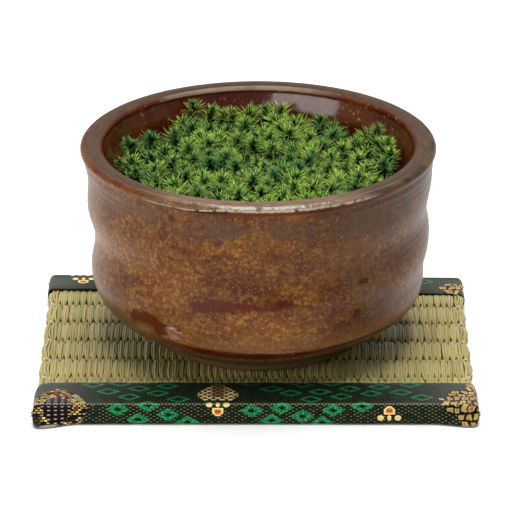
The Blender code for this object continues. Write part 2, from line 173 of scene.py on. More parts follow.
@dataclass
class Surface:
    """Points with the faces that join them, and what each point carries.

    Fields:
        points: One row of x, y, z for each point, in metres.
        quads: Faces of four points.
        triangles: Faces of three points.
        uv: Each point's place on the flat cloth, where a pattern needs it.
        values: Named numbers that the finish reads at each point.
    """

    points: Array
    quads: Array
    triangles: Array = field(default_factory=lambda: np.zeros((0, 3), int))
    uv: Array | None = None
    values: dict[str, Array] = field(default_factory=dict)

    def make(self, name: str) -> bpy.types.Object:
        """Puts the surface into a mesh object with smooth faces that point outward.

        Args:
            name: The piece's name.

        Returns:
            The new object, linked to the scene.
        """
        quads = self.quads
        triangles = self.triangles
        if signed_volume(self.points, quads, triangles) < 0.0:
            quads = quads[:, ::-1]
            triangles = triangles[:, ::-1]
        loops = np.concatenate([quads.ravel(), triangles.ravel()]).astype(np.int32)
        starts = np.concatenate([
            4 * np.arange(len(quads)), 4 * len(quads) + 3 * np.arange(len(triangles))]).astype(np.int32)
        mesh = bpy.data.meshes.new(name)
        mesh.vertices.add(len(self.points))
        mesh.vertices.foreach_set("co", self.points.astype(np.float32).ravel())
        mesh.loops.add(len(loops))
        mesh.loops.foreach_set("vertex_index", loops)
        mesh.polygons.add(len(starts))
        mesh.polygons.foreach_set("loop_start", starts)
        if self.uv is not None:
            layer = mesh.uv_layers.new(name="cloth")
            layer.data.foreach_set("uv", self.uv[loops].astype(np.float32).ravel())
        for key, numbers in self.values.items():
            attribute = mesh.attributes.new(key, "FLOAT", "POINT")
            attribute.data.foreach_set("value", numbers.astype(np.float32).ravel())
        mesh.update(calc_edges=True)
        mesh.shade_smooth()
        piece = bpy.data.objects.new(name, mesh)
        bpy.context.scene.collection.objects.link(piece)
        return piece


def thick_sheet(outer: Array, inner: Array, uv: Array) -> Surface:
    """Closes two grids that lie one over the other into one thin sheet.

    The inner grid's faces are turned round, and strips of quads join the two along all four edges.

    Args:
        outer: Grid of points of the face, rows by columns by 3.
        inner: The same for the back.
        uv: Grid of places on the flat cloth, rows by columns by 2.

    Returns:
        The closed sheet.
    """
    rows, columns = outer.shape[:2]
    face = grid_quads(rows, columns)
    number = np.arange(rows * columns).reshape(rows, columns)
    border = np.concatenate([number[0, :-1], number[:-1, -1], number[-1, :0:-1], number[:0:-1, 0]])
    ahead = np.roll(border, -1)
    shift = rows * columns
    strip = np.stack([border, border + shift, ahead + shift, ahead], axis=1)
    points = np.vstack([outer.reshape(-1, 3), inner.reshape(-1, 3)])
    flat = uv.reshape(-1, 2)
    return Surface(points, np.vstack([face, face[:, ::-1] + shift, strip]), uv=np.vstack([flat, flat]))


def close_disc(rings: Array, base: float, poles: list | None = None) -> Surface:
    """Closes rings of points round the axis that run from one middle to another.

    Args:
        rings: Rings by points by 3, in millimetres.
        base: Millimetres by which all of it is raised.
        poles: The two middles, or None for the means of the first and of the last ring.

    Returns:
        The closed skin, with a fan of triangles round either pole.
    """
    count, around = rings.shape[:2]
    if poles is None:
        poles = [rings[0].mean(axis=0), rings[-1].mean(axis=0)]
    points = np.vstack([rings.reshape(-1, 3), poles]) + (0.0, 0.0, base)
    here = np.arange(around)
    after = (here + 1) % around
    total = count * around
    last = total - around
    fans = np.vstack([
        np.stack([np.full(around, total), after, here], axis=1),
        np.stack([np.full(around, total + 1), last + here, last + after], axis=1)])
    return Surface(points * MM, grid_quads(count, around, True), fans)


class Painter:
    """Builds one procedural material, a node at a time, on Object coordinates in metres."""

    def __init__(self, name: str) -> None:
        """Starts a material with its shader and the piece's own coordinates.

        Args:
            name: The material's name.
        """
        self.material = bpy.data.materials.new(name)
        self.material.use_nodes = True
        self.tree = self.material.node_tree
        self.shader = self.tree.nodes["Principled BSDF"]
        self.place = self.tree.nodes.new("ShaderNodeTexCoord").outputs["Object"]

    def node(self, kind: str, values: dict[int | str, object], output: int | str = 0,
             **settings: object) -> Socket:
        """Adds a node, sets its options and its inputs, and gives one of its outputs.

        Args:
            kind: The node's type, without the leading ShaderNode.
            values: A number, colour or socket for each named or numbered input.
            output: Which output to give.
            **settings: The node's own options.

        Returns:
            The output socket.
        """
        made = self.tree.nodes.new("ShaderNode" + kind)
        for key, value in settings.items():
            setattr(made, key, value)
        for key, value in values.items():
            if isinstance(value, Socket):
                self.tree.links.new(value, made.inputs[key])
            else:
                made.inputs[key].default_value = value
        return made.outputs[output]

    def maths(self, operation: str, *values: Value) -> Socket:
        """Adds a Math node over one or two values."""
        return self.node("Math", dict(enumerate(values)), operation=operation)

    def vector(self, operation: str, *values: object, output: int | str = 0) -> Socket:
        """Adds a Vector Math node over one or two vectors."""
        return self.node("VectorMath", dict(enumerate(values)), output, operation=operation)

    def total(self, *values: Value) -> Socket:
        """Adds up the values."""
        return reduce(partial(self.maths, "ADD"), values)

    def product(self, *values: Value) -> Socket:
        """Multiplies the values."""
        return reduce(partial(self.maths, "MULTIPLY"), values)

    def rise(self, value: Value, low: float, high: float) -> Socket:
        """Rises smoothly from 0 where the value is low to 1 where it is high."""
        return self.node(
            "MapRange", {0: value, 1: low, 2: high, 3: 0.0, 4: 1.0}, interpolation_type="SMOOTHSTEP")

    def spot(self, value: Value, middle: float, reach: float) -> Socket:
        """Gives 1 where the value is at the middle, falling smoothly to 0 at that reach from it."""
        away = self.maths("ABSOLUTE", self.maths("SUBTRACT", value, middle))
        return self.rise(away, reach, 0.0)

    def mix(self, share: Value, first: object, second: object) -> Socket:
        """Mixes two colours by a share from 0, the first, to 1, the second."""
        return self.node(
            "Mix", {0: share, 6: self.colour(first), 7: self.colour(second)}, 2, data_type="RGBA")

    @staticmethod
    def colour(value: object) -> object:
        """Gives a colour its fourth number, and leaves a socket as it is."""
        return value if isinstance(value, Socket) else (*value, 1.0)

    def noise(self, scale: float, detail: float = 2.0, rough: float = 0.5,
              at: Socket | None = None) -> Socket:
        """Gives noise from 0 to 1, whose features are about one over the scale across.

        Args:
            scale: Features in a metre.
            detail: How many finer layers are added.
            rough: How strong the finer layers are.
            at: Where to read it, or None for the piece's own coordinates.

        Returns:
            The noise.
        """
        values = {"Vector": at or self.place, "Scale": scale, "Detail": detail, "Roughness": rough}
        return self.node("TexNoise", values)

    def stretched(self, scale: tuple[float, float, float]) -> Socket:
        """Scales the coordinates by a factor along each axis."""
        return self.vector("MULTIPLY", self.place, scale)

    def parts(self, vector: Socket) -> tuple[Socket, Socket, Socket]:
        """Splits a vector into its three numbers."""
        return tuple(self.node("SeparateXYZ", {0: vector}).node.outputs)

    def near(self, middle: tuple[float, float, float], reach: float, edge: float = 0.4, flat: float = 1.0,
             ragged: Value = 0.0) -> Socket:
        """Gives 1 inside a ball round a point, falling to 0 over the outer share of its reach.

        Args:
            middle: The ball's middle in millimetres.
            reach: The ball's radius in millimetres.
            edge: The share of the radius over which it fades.
            flat: How many times less high than wide the ball is.
            ragged: Millimetres added to the distance, to make the outline uneven.

        Returns:
            The mask.
        """
        here = self.vector("MULTIPLY", self.place, (1 / MM, 1 / MM, flat / MM))
        away = self.vector("DISTANCE", here, (middle[0], middle[1], middle[2] * flat), output="Value")
        return self.rise(self.total(away, ragged), reach, reach * (1.0 - edge))

    def flecks(self, scale: float, size: float, share: float) -> Socket:
        """Gives soft, uneven dots, one in each Voronoi cell that its own random number lets through.

        Args:
            scale: Cells in a metre.
            size: The dots' radius, as a share of a cell.
            share: The share of the cells that has a dot.

        Returns:
            The mask.
        """
        values = {"Vector": self.place, "Scale": 1.6 * scale, "Detail": 1.0}
        bent = self.node("TexNoise", values, "Color")
        bent = self.vector("MULTIPLY", self.vector("SUBTRACT", bent, (0.5, 0.5, 0.5)), (1.2 / scale,) * 3)
        here = self.vector("ADD", self.place, bent)
        away = self.node("TexVoronoi", {"Vector": here, "Scale": scale}, "Distance")
        chance, _, _ = self.parts(away.node.outputs["Color"])
        kept = self.rise(chance, 1.0 - share, 1.0 - 0.6 * share)
        return self.product(self.rise(away, size, 0.35 * size), kept)

    def carried(self, name: str) -> Socket:
        """Reads a number that the points of the piece carry."""
        return self.node("Attribute", {}, "Fac", attribute_name=name)

    def bump(self, height: Value, distance: float, strength: float = 1.0) -> Socket:
        """Turns a height from 0 to 1 into a normal.

        Args:
            height: The height.
            distance: How far 1 stands above 0, in metres.
            strength: How much of it is used.

        Returns:
            The normal.
        """
        return self.node("Bump", {"Height": height, "Distance": distance, "Strength": strength})

    def finish(self, **sockets: object) -> bpy.types.Material:
        """Sets the shader's sockets and gives the material.

        Args:
            **sockets: A number, colour or socket for each input, named with underscores for spaces.

        Returns:
            The material.
        """
        for key, value in sockets.items():
            name = key.replace("_", " ").title().replace("Ior", "IOR")
            if isinstance(value, Socket):
                self.tree.links.new(value, self.shader.inputs[name])
            elif isinstance(value, tuple) and "Color" in name:
                self.shader.inputs[name].default_value = (*value, 1.0)
            else:
                self.shader.inputs[name].default_value = value
        return self.material


def dress(piece: bpy.types.Object, material: bpy.types.Material,
          replaced: tuple[str, ...] = ()) -> None:
    """Gives a piece its finish, ties it to the part's body, and hides the CAD nodes it stands for.

    Args:
        piece: The piece.
        material: Its finish.
        replaced: The CAD nodes that the piece stands for.
    """
    piece.data.materials.clear()
    piece.data.materials.append(material)
    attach(piece, BODY)
    if replaced:
        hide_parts(*replaced)
    piece.data.calc_loop_triangles()
    log.info("%s: %d triangles", piece.name, len(piece.data.loop_triangles))


class BowlPainter(Painter):
    """Painter that also knows where each point of the bowl is, in millimetres."""

    def __init__(self, name: str, base: float) -> None:
        """Starts the material, and works out the place of each point.

        Args:
            name: The material's name.
            base: Height of the rush under the bowl, in millimetres.
        """
        super().__init__(name)
        x, y, z = self.parts(self.place)
        axis_distance = self.vector("LENGTH", self.stretched((1, 1, 0)), output="Value")
        self.along = {
            "x": self.product(x, 1.0 / MM),
            "y": self.product(y, 1.0 / MM),
            "height": self.product(self.maths("SUBTRACT", z, base * MM), 1.0 / MM),
            "radius": self.maths("DIVIDE", axis_distance, MM)}

    def zone(self, zone: Zone, **moved: Socket) -> Socket:
        """Gives the product of a zone's smooth rises.

        Args:
            zone: The zone.
            **moved: What to read in place of one of its coordinates.

        Returns:
            The mask.
        """
        found = self.along | moved
        return self.product(*(self.rise(found[name], low, high) for name, low, high in zone))


@dataclass(frozen=True)
class Glaze:
    """Finish of the bowl: satin red-brown glaze with golden mottling, bare clay at the foot.

    A zone holds, for some of x, y, the height above the rush and the distance from the axis, the
    place in millimetres where its mask is 0 and the place where it is 1. A pair of numbers is a
    middle and a reach, and a mark is a middle, a radius, a soft share and a flatness.

    Fields:
        grey, dusk, worn: A painted grey sheen under the lip and at the right, a painted lighter tone low on
            the wall, and the dark of its low left corner.
        blood, olive, lilac: The streak and spots, the finger's mark, and the painted grey highlight streaks
            beside it.
        amber, moist: The lip's left and right shoulder.
        drop: How far the dark band and the painted highlight line sink toward the left.
        edge_broad: How much higher the glaze's thick lower edge reaches on the right.
    """

    red: Colour = tone(70, 26, 8)
    gold: Colour = tone(112, 68, 22)
    fleck: Colour = tone(168, 114, 50)
    pale: Colour = tone(200, 172, 130)
    dark: Colour = tone(48, 14, 4)
    # Tone of the painted grey sheen under the lip and at the right.
    grey: Colour = tone(78, 58, 44)
    # Lighter tone painted low on the wall, as painted light where the wall turns down into shade.
    low_wall_light: Colour = tone(140, 102, 74)
    worn: Colour = tone(46, 29, 15)
    blood: Colour = tone(74, 18, 2)
    olive: Colour = tone(110, 88, 40)
    # Tone of the painted highlight streaks beside the finger's mark.
    lilac: Colour = tone(168, 146, 138)
    clay: tuple[Colour, Colour] = (tone(96, 72, 40), tone(84, 60, 32))
    inside: Colour = tone(66, 10, 0)
    ember: Colour = tone(88, 40, 3)
    lip: Colour = tone(74, 52, 34)
    # Lighter tone of the lip's top at the front, a painted sheen.
    lip_front_sheen: Colour = tone(116, 92, 70)
    amber: Colour = tone(94, 56, 16)
    moist: Colour = tone(86, 64, 28)
    # Painted highlights: the upper and lower part of the line along the front of the lip, then the streak on
    # the inner edge of the lip at the back.
    highlight_high: Colour = tone(108, 97, 78)
    highlight_low: Colour = tone(184, 164, 142)
    back_highlight: Colour = tone(120, 104, 88)
    # Where the painted grey sheen lies: a band under the lip, and the right side.
    sheen_band: Pair = (62.0, 7.5)
    right_sheen: Zone = (("x", 8.0, 44.0),)
    # Where the painted light low on the wall lies.
    lit_low_wall: Zone = (("height", 25.0, 15.5), ("x", 58.0, 26.0))
    low_corner: Zone = (("height", 25.0, 16.0), ("x", -34.0, -48.0))
    inward: Zone = (("radius", 55.2, 54.2), ("height", 8.0, 8.6))
    starry: Zone = (("x", 20.0, 30.0), ("y", 14.0, 26.0))
    facing: Zone = (("y", -43.0, -53.0),)
    rim: Zone = (("height", 68.2, 69.2), ("radius", 60.9, 60.2))
    lip_right: Zone = (("x", 14.0, 44.0),)
    band: Zone = (("radius", 59.3, 59.9), ("height", 66.9, 67.5))
    band_top: Zone = (("height", 69.8, 69.3),)
    lip_left: Zone = (("x", -10.0, -26.0),)
    drop: float = 1.3
    shoulder: Zone = (("radius", 58.9, 59.7), ("height", 69.2, 69.5))
    shoulder_low: Zone = (("height", 70.0, 69.4),)
    # Where the painted highlight along the front of the lip lies, and where its tone changes.
    line: Zone = (("height", 68.9, 69.15), ("height", 70.5, 70.25), ("radius", 58.6, 59.4))
    highlight_tone: Zone = (("height", 69.9, 69.4),)
    # Where the painted highlight streak on the inner edge of the lip at the back lies, with a darker line
    # round it.
    back: Zone = (("y", 18.0, 30.0), ("x", -37.0, -28.0), ("x", 32.0, 14.0))
    groove: Pair = (55.7, 0.7)
    roll: Zone = (("radius", 55.2, 54.9), ("height", 69.1, 69.35))
    wet_front: Zone = (("y", -22.0, -46.0),)
    wet_inside: Zone = (("height", 69.4, 67.8),)
    streak_height: Pair = (33.8, 3.0)
    streak: Zone = (("x", -26.0, -18.0), ("x", 17.0, 8.0), ("y", -30.0, -44.0))
    spots: tuple = (
        ((-28.6, -52.5, 70.9), 1.7, 1.0), ((7.9, -57.2, 42.2), 2.4, 1.3), ((35.0, -46.3, 45.5), 3.0, 2.2),
        ((33.2, -47.1, 34.8), 2.4, 0.9), ((10.6, -56.8, 42.0), 1.6, 1.0))
    wiped: tuple = ((-37.5, -43.0, 28.0), 9.0, 0.15, 1.7)
    finger: tuple = ((-38.5, -40.6, 24.5), 6.0, 0.8, 1.5)
    # Middle, reach and soft share of the painted highlight streaks.
    grey_glint: tuple = ((-28.0, -50.0, 28.5), 6.5, 0.8)
    edge: Zone = (("height", 14.3, 14.0),)
    edge_right: Zone = (("x", 12.0, 42.0),)
    edge_broad: float = 2.4
    foot: Zone = (("height", 10.2, 9.8),)

    def make(self, bowl: "Bowl") -> bpy.types.Material:
        """Builds the material: the wall with its marks and lower edge, then inside and lip over it.

        Args:
            bowl: The bowl that wears it.

        Returns:
            The material.
        """
        p = BowlPainter("glaze", bowl.base)
        mottle = p.noise(430, 4, 0.7)
        rim = p.zone(self.rim)
        inward = p.zone(self.inward)
        shoulder = p.zone(self.shoulder)
        ragged = p.total(p.noise(210, 4, 0.75), p.product(mottle, 0.3), -0.65)
        chipped = p.rise(ragged, -0.12, -0.02)
        body, foot = self.lower_edge(p, self.add_marks(p, self.wall(p, mottle)))
        body = p.mix(p.product(rim, 0.95), body, self.lip_top(p))
        body = p.mix(inward, body, self.inner_wall(p))
        body = self.add_lip_edges(p, body, shoulder, ragged, chipped)
        rough = p.total(0.26, p.product(mottle, 0.18), p.product(rim, 0.25), p.product(foot, 0.5))
        wet = p.product(shoulder, chipped, p.zone(self.wet_front), 0.7)
        wet = p.maths("MAXIMUM", wet, p.product(inward, p.zone(self.wet_inside)))
        relief = p.total(
            p.product(mottle, 0.5), p.product(p.noise(130, 2), 1.6), p.product(inward, p.noise(60, 2), 8.0),
            p.product(shoulder, p.noise(260, 3, 0.6), 4.0))
        relief = p.bump(relief, 0.14 * MM, 0.6)
        return p.finish(
            base_color=body, roughness=rough, ior=1.45, specular_ior_level=0.19, normal=relief,
            coat_weight=wet, coat_roughness=0.11, coat_ior=1.56, coat_normal=relief)

    def wall(self, p: BowlPainter, mottle: Socket) -> Socket:
        """Mottles the wall: two noises mix red and gold, under flecks, dark pits, a painted grey sheen and a
        painted lighter tone low down.

        Args:
            p: The painter.
            mottle: The fine noise of the mottling.

        Returns:
            The wall's colour.
        """
        slow = p.noise(34, 3, 0.6, p.stretched((1, 1, 1.5)))
        golden = p.total(p.product(slow, 0.9), p.product(mottle, 0.9), -0.4)
        body = p.mix(p.rise(golden, 0.22, 0.76), self.red, self.gold)
        crowd = p.rise(p.total(slow, p.product(p.noise(110, 2), 0.5)), 0.5, 0.95)
        body = p.mix(p.product(p.flecks(560, 0.62, 0.85), crowd, 0.6), body, self.fleck)
        body = p.mix(p.product(p.flecks(1000, 0.55, 0.7), 0.3), body, self.fleck)
        body = p.mix(p.product(p.rise(p.noise(800, 2, 0.6), 0.42, 0.3), 0.62), body, self.dark)
        # Painted sheen: a grey veil under the lip and over the right side of the wall.
        haze = p.noise(52, 3, 0.6, p.stretched((1, 1, 2)))
        sheen_under_lip = p.product(p.spot(p.along["height"], *self.sheen_band), p.rise(haze, 0.36, 0.6))
        body = p.mix(p.product(sheen_under_lip, 0.8), body, self.grey)
        body = p.mix(p.product(p.zone(self.right_sheen), p.rise(haze, 0.34, 0.62), 0.55), body, self.grey)
        # Painted light: the wall is made lighter low down, where it turns toward the mat and lies in shade.
        body = p.mix(p.product(p.zone(self.lit_low_wall), 0.55), body, p.mix(mottle, self.gold, self.low_wall_light))
        body = p.mix(p.product(p.zone(self.low_corner), 0.75), body, self.worn)
        return p.mix(p.product(p.flecks(1200, 0.42, 0.07), 0.4), body, self.pale)

    def add_marks(self, p: BowlPainter, body: Socket) -> Socket:
        """Adds the dark red streak, the spots, the mark that the glazer's finger left, and painted highlight
        streaks beside it.

        Args:
            p: The painter.
            body: The colour so far.

        Returns:
            The colour with the marks.
        """
        uneven = p.product(p.total(p.noise(260, 4, 0.7, p.stretched((0.6, 0.6, 1.4))), -0.5), 13.0)
        line = p.spot(p.total(p.along["height"], uneven), *self.streak_height)
        streak = p.rise(p.product(line, p.zone(self.streak)), 0.1, 0.7)
        body = p.mix(p.product(streak, 0.85), body, self.blood)
        rag = p.product(p.total(p.noise(240, 4, 0.7), -0.5), 9.0)
        torn = p.product(p.total(p.noise(420, 3, 0.7), -0.5), 5.0)
        for middle, reach, flat in self.spots:
            spot = p.near(middle, reach, 0.5, flat, torn)
            body = p.mix(p.product(spot, 0.85), body, p.mix(0.4, self.dark, self.blood))
        body = p.mix(p.product(p.near(*self.wiped, rag), 0.92), body, self.blood)
        body = p.mix(p.product(p.near(*self.finger, rag), 0.9), body, self.olive)
        # Painted highlight: lilac-grey streaks beside the finger's mark.
        drawn_out = p.noise(420, 3, 0.6, p.stretched((0.4, 0.4, 1)))
        grey_glint = p.product(p.near(*self.grey_glint), p.rise(drawn_out, 0.46, 0.6), 0.75)
        return p.mix(grey_glint, body, self.lilac)

    def lower_edge(self, p: BowlPainter, body: Socket) -> tuple[Socket, Socket]:
        """Ends the glaze in a thick dark line, broader on the right, above the bare clay of the foot.

        Args:
            p: The painter.
            body: The colour so far.

        Returns:
            The colour with the edge and the clay, and the clay's mask.
        """
        waver = p.total(p.along["height"], p.product(p.total(p.noise(50, 3), -0.5), 2.4))
        jagged = p.total(waver, p.product(p.total(p.noise(400, 3, 0.7), -0.5), 1.6))
        jagged = p.total(jagged, p.product(p.zone(self.edge_right), -self.edge_broad))
        body = p.mix(p.product(p.zone(self.edge, height=jagged), 0.94), body, self.dark)
        foot = p.zone(self.foot, height=waver)
        return p.mix(foot, body, p.mix(p.noise(160, 3), *self.clay)), foot

    def lip_top(self, p: BowlPainter) -> Socket:
        """Gives the lip's matt top by a noise drawn out round the rim, made lighter at the front by a
        painted sheen.

        Args:
            p: The painter.

        Returns:
            The lip's colour.
        """
        turn = p.maths("ARCTAN2", p.along["y"], p.along["x"])
        round_rim = {0: p.product(p.along["radius"], 1.6), 1: p.product(turn, 9.0), 2: 0.0}
        turned = p.noise(1.0, 4, 0.7, p.node("CombineXYZ", round_rim))
        body = p.mix(p.rise(turned, 0.35, 0.68), self.lip, self.worn)
        # Painted sheen: the lip's top is lighter at the front.
        return p.mix(p.product(p.zone(self.facing), p.rise(turned, 0.75, 0.4), 0.9), body, self.lip_front_sheen)

    def inner_wall(self, p: BowlPainter) -> Socket:
        """Gives the inside: a noise mixes two reds, with golden specks at the back and in patches.

        Args:
            p: The painter.

        Returns:
            The inside's colour.
        """
        body = p.mix(p.rise(p.noise(60, 4, 0.7), 0.42, 0.7), self.inside, self.ember)
        patches = p.product(p.rise(p.noise(40, 2), 0.45, 0.6), 0.8)
        starry = p.maths("MAXIMUM", p.zone(self.starry), patches)
        return p.mix(p.product(p.flecks(760, 0.4, 0.45), starry, 0.9), body, self.fleck)

    def add_lip_edges(self, p: BowlPainter, body: Socket, shoulder: Socket, ragged: Socket,
                      chipped: Socket) -> Socket:
        """Adds the dark band under the lip, its warm shoulder, a painted highlight along the front and a
        painted highlight streak at the back.

        Args:
            p: The painter.
            body: The colour so far.
            shoulder: The mask of the lip's shoulder.
            ragged: A noise round 0, which frays the painted highlights.
            chipped: The mask of what is left between chips.

        Returns:
            The colour with the lip's edges.
        """
        facing = p.zone(self.facing)
        right = p.zone(self.lip_right)
        broken = p.rise(p.noise(90, 4, 0.7), 0.38, 0.62)
        shifted = p.total(p.along["height"], p.product(p.zone(self.lip_left), self.drop))
        band = p.product(p.zone(self.band), p.zone(self.band_top, height=shifted), 0.92)
        body = p.mix(band, body, p.mix(broken, self.dark, self.ember))
        warm = p.mix(right, self.amber, self.moist)
        warm = p.mix(p.product(broken, 0.85), p.mix(right, self.blood, self.worn), warm)
        warm = p.mix(p.product(right, p.zone(self.shoulder_low), 0.7), warm, self.dark)
        body = p.mix(p.product(shoulder, p.rise(facing, 1.0, 0.0), 0.9), body, warm)
        # Painted highlight: a pale, broken line along the front of the lip's shoulder.
        line = p.zone(self.line, height=p.total(shifted, p.product(ragged, 1.6)))
        bright = p.mix(p.zone(self.highlight_tone, height=shifted), self.highlight_high, self.highlight_low)
        body = p.mix(p.product(line, facing, chipped, 0.9), body, bright)
        # Painted highlight: a pale streak on the inner edge of the lip at the back, beside a darker line.
        back = p.zone(self.back)
        body = p.mix(p.product(p.spot(p.along["radius"], *self.groove), back, 0.7), body, self.worn)
        roll = p.zone(self.roll, height=p.total(p.along["height"], ragged))
        return p.mix(p.product(roll, back, p.total(0.6, p.product(broken, 0.35))), body, self.back_highlight)


@dataclass
class Bowl:
    """Thrown tea bowl: a section turned round the axis, with a spiral ring in its outer wall.

    Sizes are in millimetres, and heights are above the rush, which itself lies at base. The
    section's stations hold radius and height, those of the spiral's depth and of the wall's lean
    toward +X hold height first. The finger's dent stands at a share of a turn from +X, the lip's
    angles are in degrees from its outer side, and inner_ring is a depth and a pitch.
    """

    base: float = 7.2
    around: int = 300
    spacing: float = 0.75
    rim_radius: float = 61.2
    rim_height: float = 70.9
    lip_half_width: float = 3.8
    lip_half_height: float = 2.0
    lip_angles: Pair = (-40.0, 190.0)
    spiral_pitch: float = 25.1
    spiral_start: float = 37.2
    edge_height: float = 10.3
    glaze_thickness: float = 0.3
    ripple_height: float = 0.07
    ripple_pitch: float = 2.4
    ripple_start: Pair = (8.0, 16.0)
    finger_turn: float = 0.639
    finger_height: float = 19.5
    finger_size: Pair = (9.0, 5.5)
    finger_depth: float = 0.7
    inner_ring: Pair = (0.25, 13.0)
    underside: tuple = ((0.0, 4.2), (14.0, 4.1), (26.5, 3.9), (28.2, 2.8), (28.7, 0.7), (29.4, 0.3))
    foot: tuple = ((35.9, 0.3), (36.8, 0.9), (37.1, 2.6))
    wall: tuple = (
        (39.6, 4.4), (44.4, 7.2), (49.6, 10.4), (53.6, 13.6), (56.4, 17.6), (57.6, 22.2), (57.7, 27.4),
        (57.8, 32.8), (58.0, 38.2), (58.4, 43.6), (58.7, 49.0), (59.0, 54.2), (59.3, 59.0), (59.7, 62.6),
        (60.1, 65.2))
    inside: tuple = (
        (53.3, 67.2), (52.3, 64.0), (51.3, 60.8), (50.6, 58.0), (50.5, 54.0), (50.4, 47.0), (49.9, 38.0),
        (48.8, 28.0), (45.5, 19.8), (38.5, 13.4), (27.0, 10.1), (13.0, 9.1), (0.0, 8.9))
    spiral_depth: tuple = ((8.0, 0.0), (18.0, 0.8), (30.0, 1.1), (45.0, 1.1), (58.0, 0.4), (66.0, 0.0))
    wall_lean: tuple = (
        (0.0, 0.0), (14.0, -0.1), (24.0, 0.8), (36.0, 0.2), (50.0, 0.6), (62.0, 0.2), (68.0, 0.0))

    def lip(self) -> Array:
        """Gives the lip's stations: radius R - a(1 - cos t), height H - b(1 - sin t) on an ellipse."""
        angles = np.radians(np.linspace(*self.lip_angles, 12))
        return np.stack([
            self.rim_radius - self.lip_half_width * (1.0 - np.cos(angles)),
            self.rim_height - self.lip_half_height * (1.0 - np.sin(angles))], axis=1)

    def section(self) -> Array:
        """Samples the section from the middle of the underside to the middle of the inside.

        Returns:
            Rows of radius, height, and 1 on the outer wall falling to 0 elsewhere.
        """
        stretches = [
            (self.underside, 0.0), (self.foot, 0.0), (self.wall, 1.0), (self.lip(), 0.0), (self.inside, 0.0)]
        stations = np.vstack([
            np.column_stack([np.array(rows), np.full(len(rows), weight)]) for rows, weight in stretches])
        steps = np.linalg.norm(np.diff(stations[:, :2], axis=0), axis=1)
        counts = np.clip(np.round(steps / self.spacing), 4, 9).astype(int)
        return smooth_line(stations, counts)

    def wall_offset(self, height: Array, turn: Array) -> Array:
        """Gives how far the outer wall stands off its round section, in millimetres.

        A lean toward +X, less a cosine of height minus the spiral ring's own height at that turn.

        Args:
            height: Height above the rush.
            turn: Share of a turn from +X.

        Returns:
            The offset outward.
        """
        depth = np.interp(height, *np.array(self.spiral_depth).T)
        lean = np.interp(height, *np.array(self.wall_lean).T)
        wave = (height - self.spiral_start) / self.spiral_pitch - (turn - 0.5)
        return lean * np.cos(FULL_TURN * turn) - depth * np.cos(FULL_TURN * wave)

    def relief(self, height: Array, turn: Array) -> Array:
        """Gives the wall's fine forms in millimetres.

        Throwing ripples are a sine of height that climbs with the turn. The clay under the glaze's
        wavering edge lies one glaze thickness deeper. The finger's dent is a Gaussian.

        Args:
            height: Height above the rush.
            turn: Share of a turn from +X.

        Returns:
            The offset outward.
        """
        angle = FULL_TURN * turn
        fade = 0.5 + 0.5 * np.sin(0.35 * height + 3.0 * angle)
        ripple = self.ripple_height * fade * np.sin(FULL_TURN * (height / self.ripple_pitch - turn))
        edge = self.edge_height + 0.35 * np.sin(3.0 * angle) + 0.2 * np.sin(11.0 * angle + 1.0)
        step = self.glaze_thickness * (smooth_step(height - edge, -0.35, 0.35) - 1.0)
        wall_radius = 54.0
        across = (turn - self.finger_turn) * FULL_TURN * wall_radius / self.finger_size[0]
        up = (height - self.finger_height) / self.finger_size[1]
        dent = -self.finger_depth * np.exp(-across**2 - up**2)
        return ripple * smooth_step(height, *self.ripple_start) + step + dent

    def surface(self) -> Surface:
        """Turns the section round the axis, with the wall's offset and relief, closed at both poles.

        Inside, below the lip, soft rings are a sine of height that climbs with the turn.

        Returns:
            The bowl's closed skin.
        """
        section = self.section()
        turn = np.arange(self.around) / self.around
        radius, height, weight = (column[1:-1, None] for column in section.T)
        reach = radius + weight * (self.wall_offset(height, turn) + self.relief(height, turn))
        inner = (1.0 - weight) * smooth_step(radius, 40.0, 50.0) * smooth_step(-height, -68.0, -60.0)
        depth, pitch = self.inner_ring
        reach = reach + inner * depth * np.sin(FULL_TURN * (height / pitch - turn))
        angle = FULL_TURN * turn
        rings = np.stack([
            reach * np.cos(angle), reach * np.sin(angle), np.broadcast_to(height, reach.shape)], axis=-1)
        poles = [[0.0, 0.0, section[0, 1]], [0.0, 0.0, section[-1, 1]]]
        return close_disc(rings, self.base, poles)

    def build(self) -> None:
        """Makes the bowl's piece and glazes it."""
        dress(self.surface().make("bowl_glazed"), Glaze().make(self), ("bowl",))


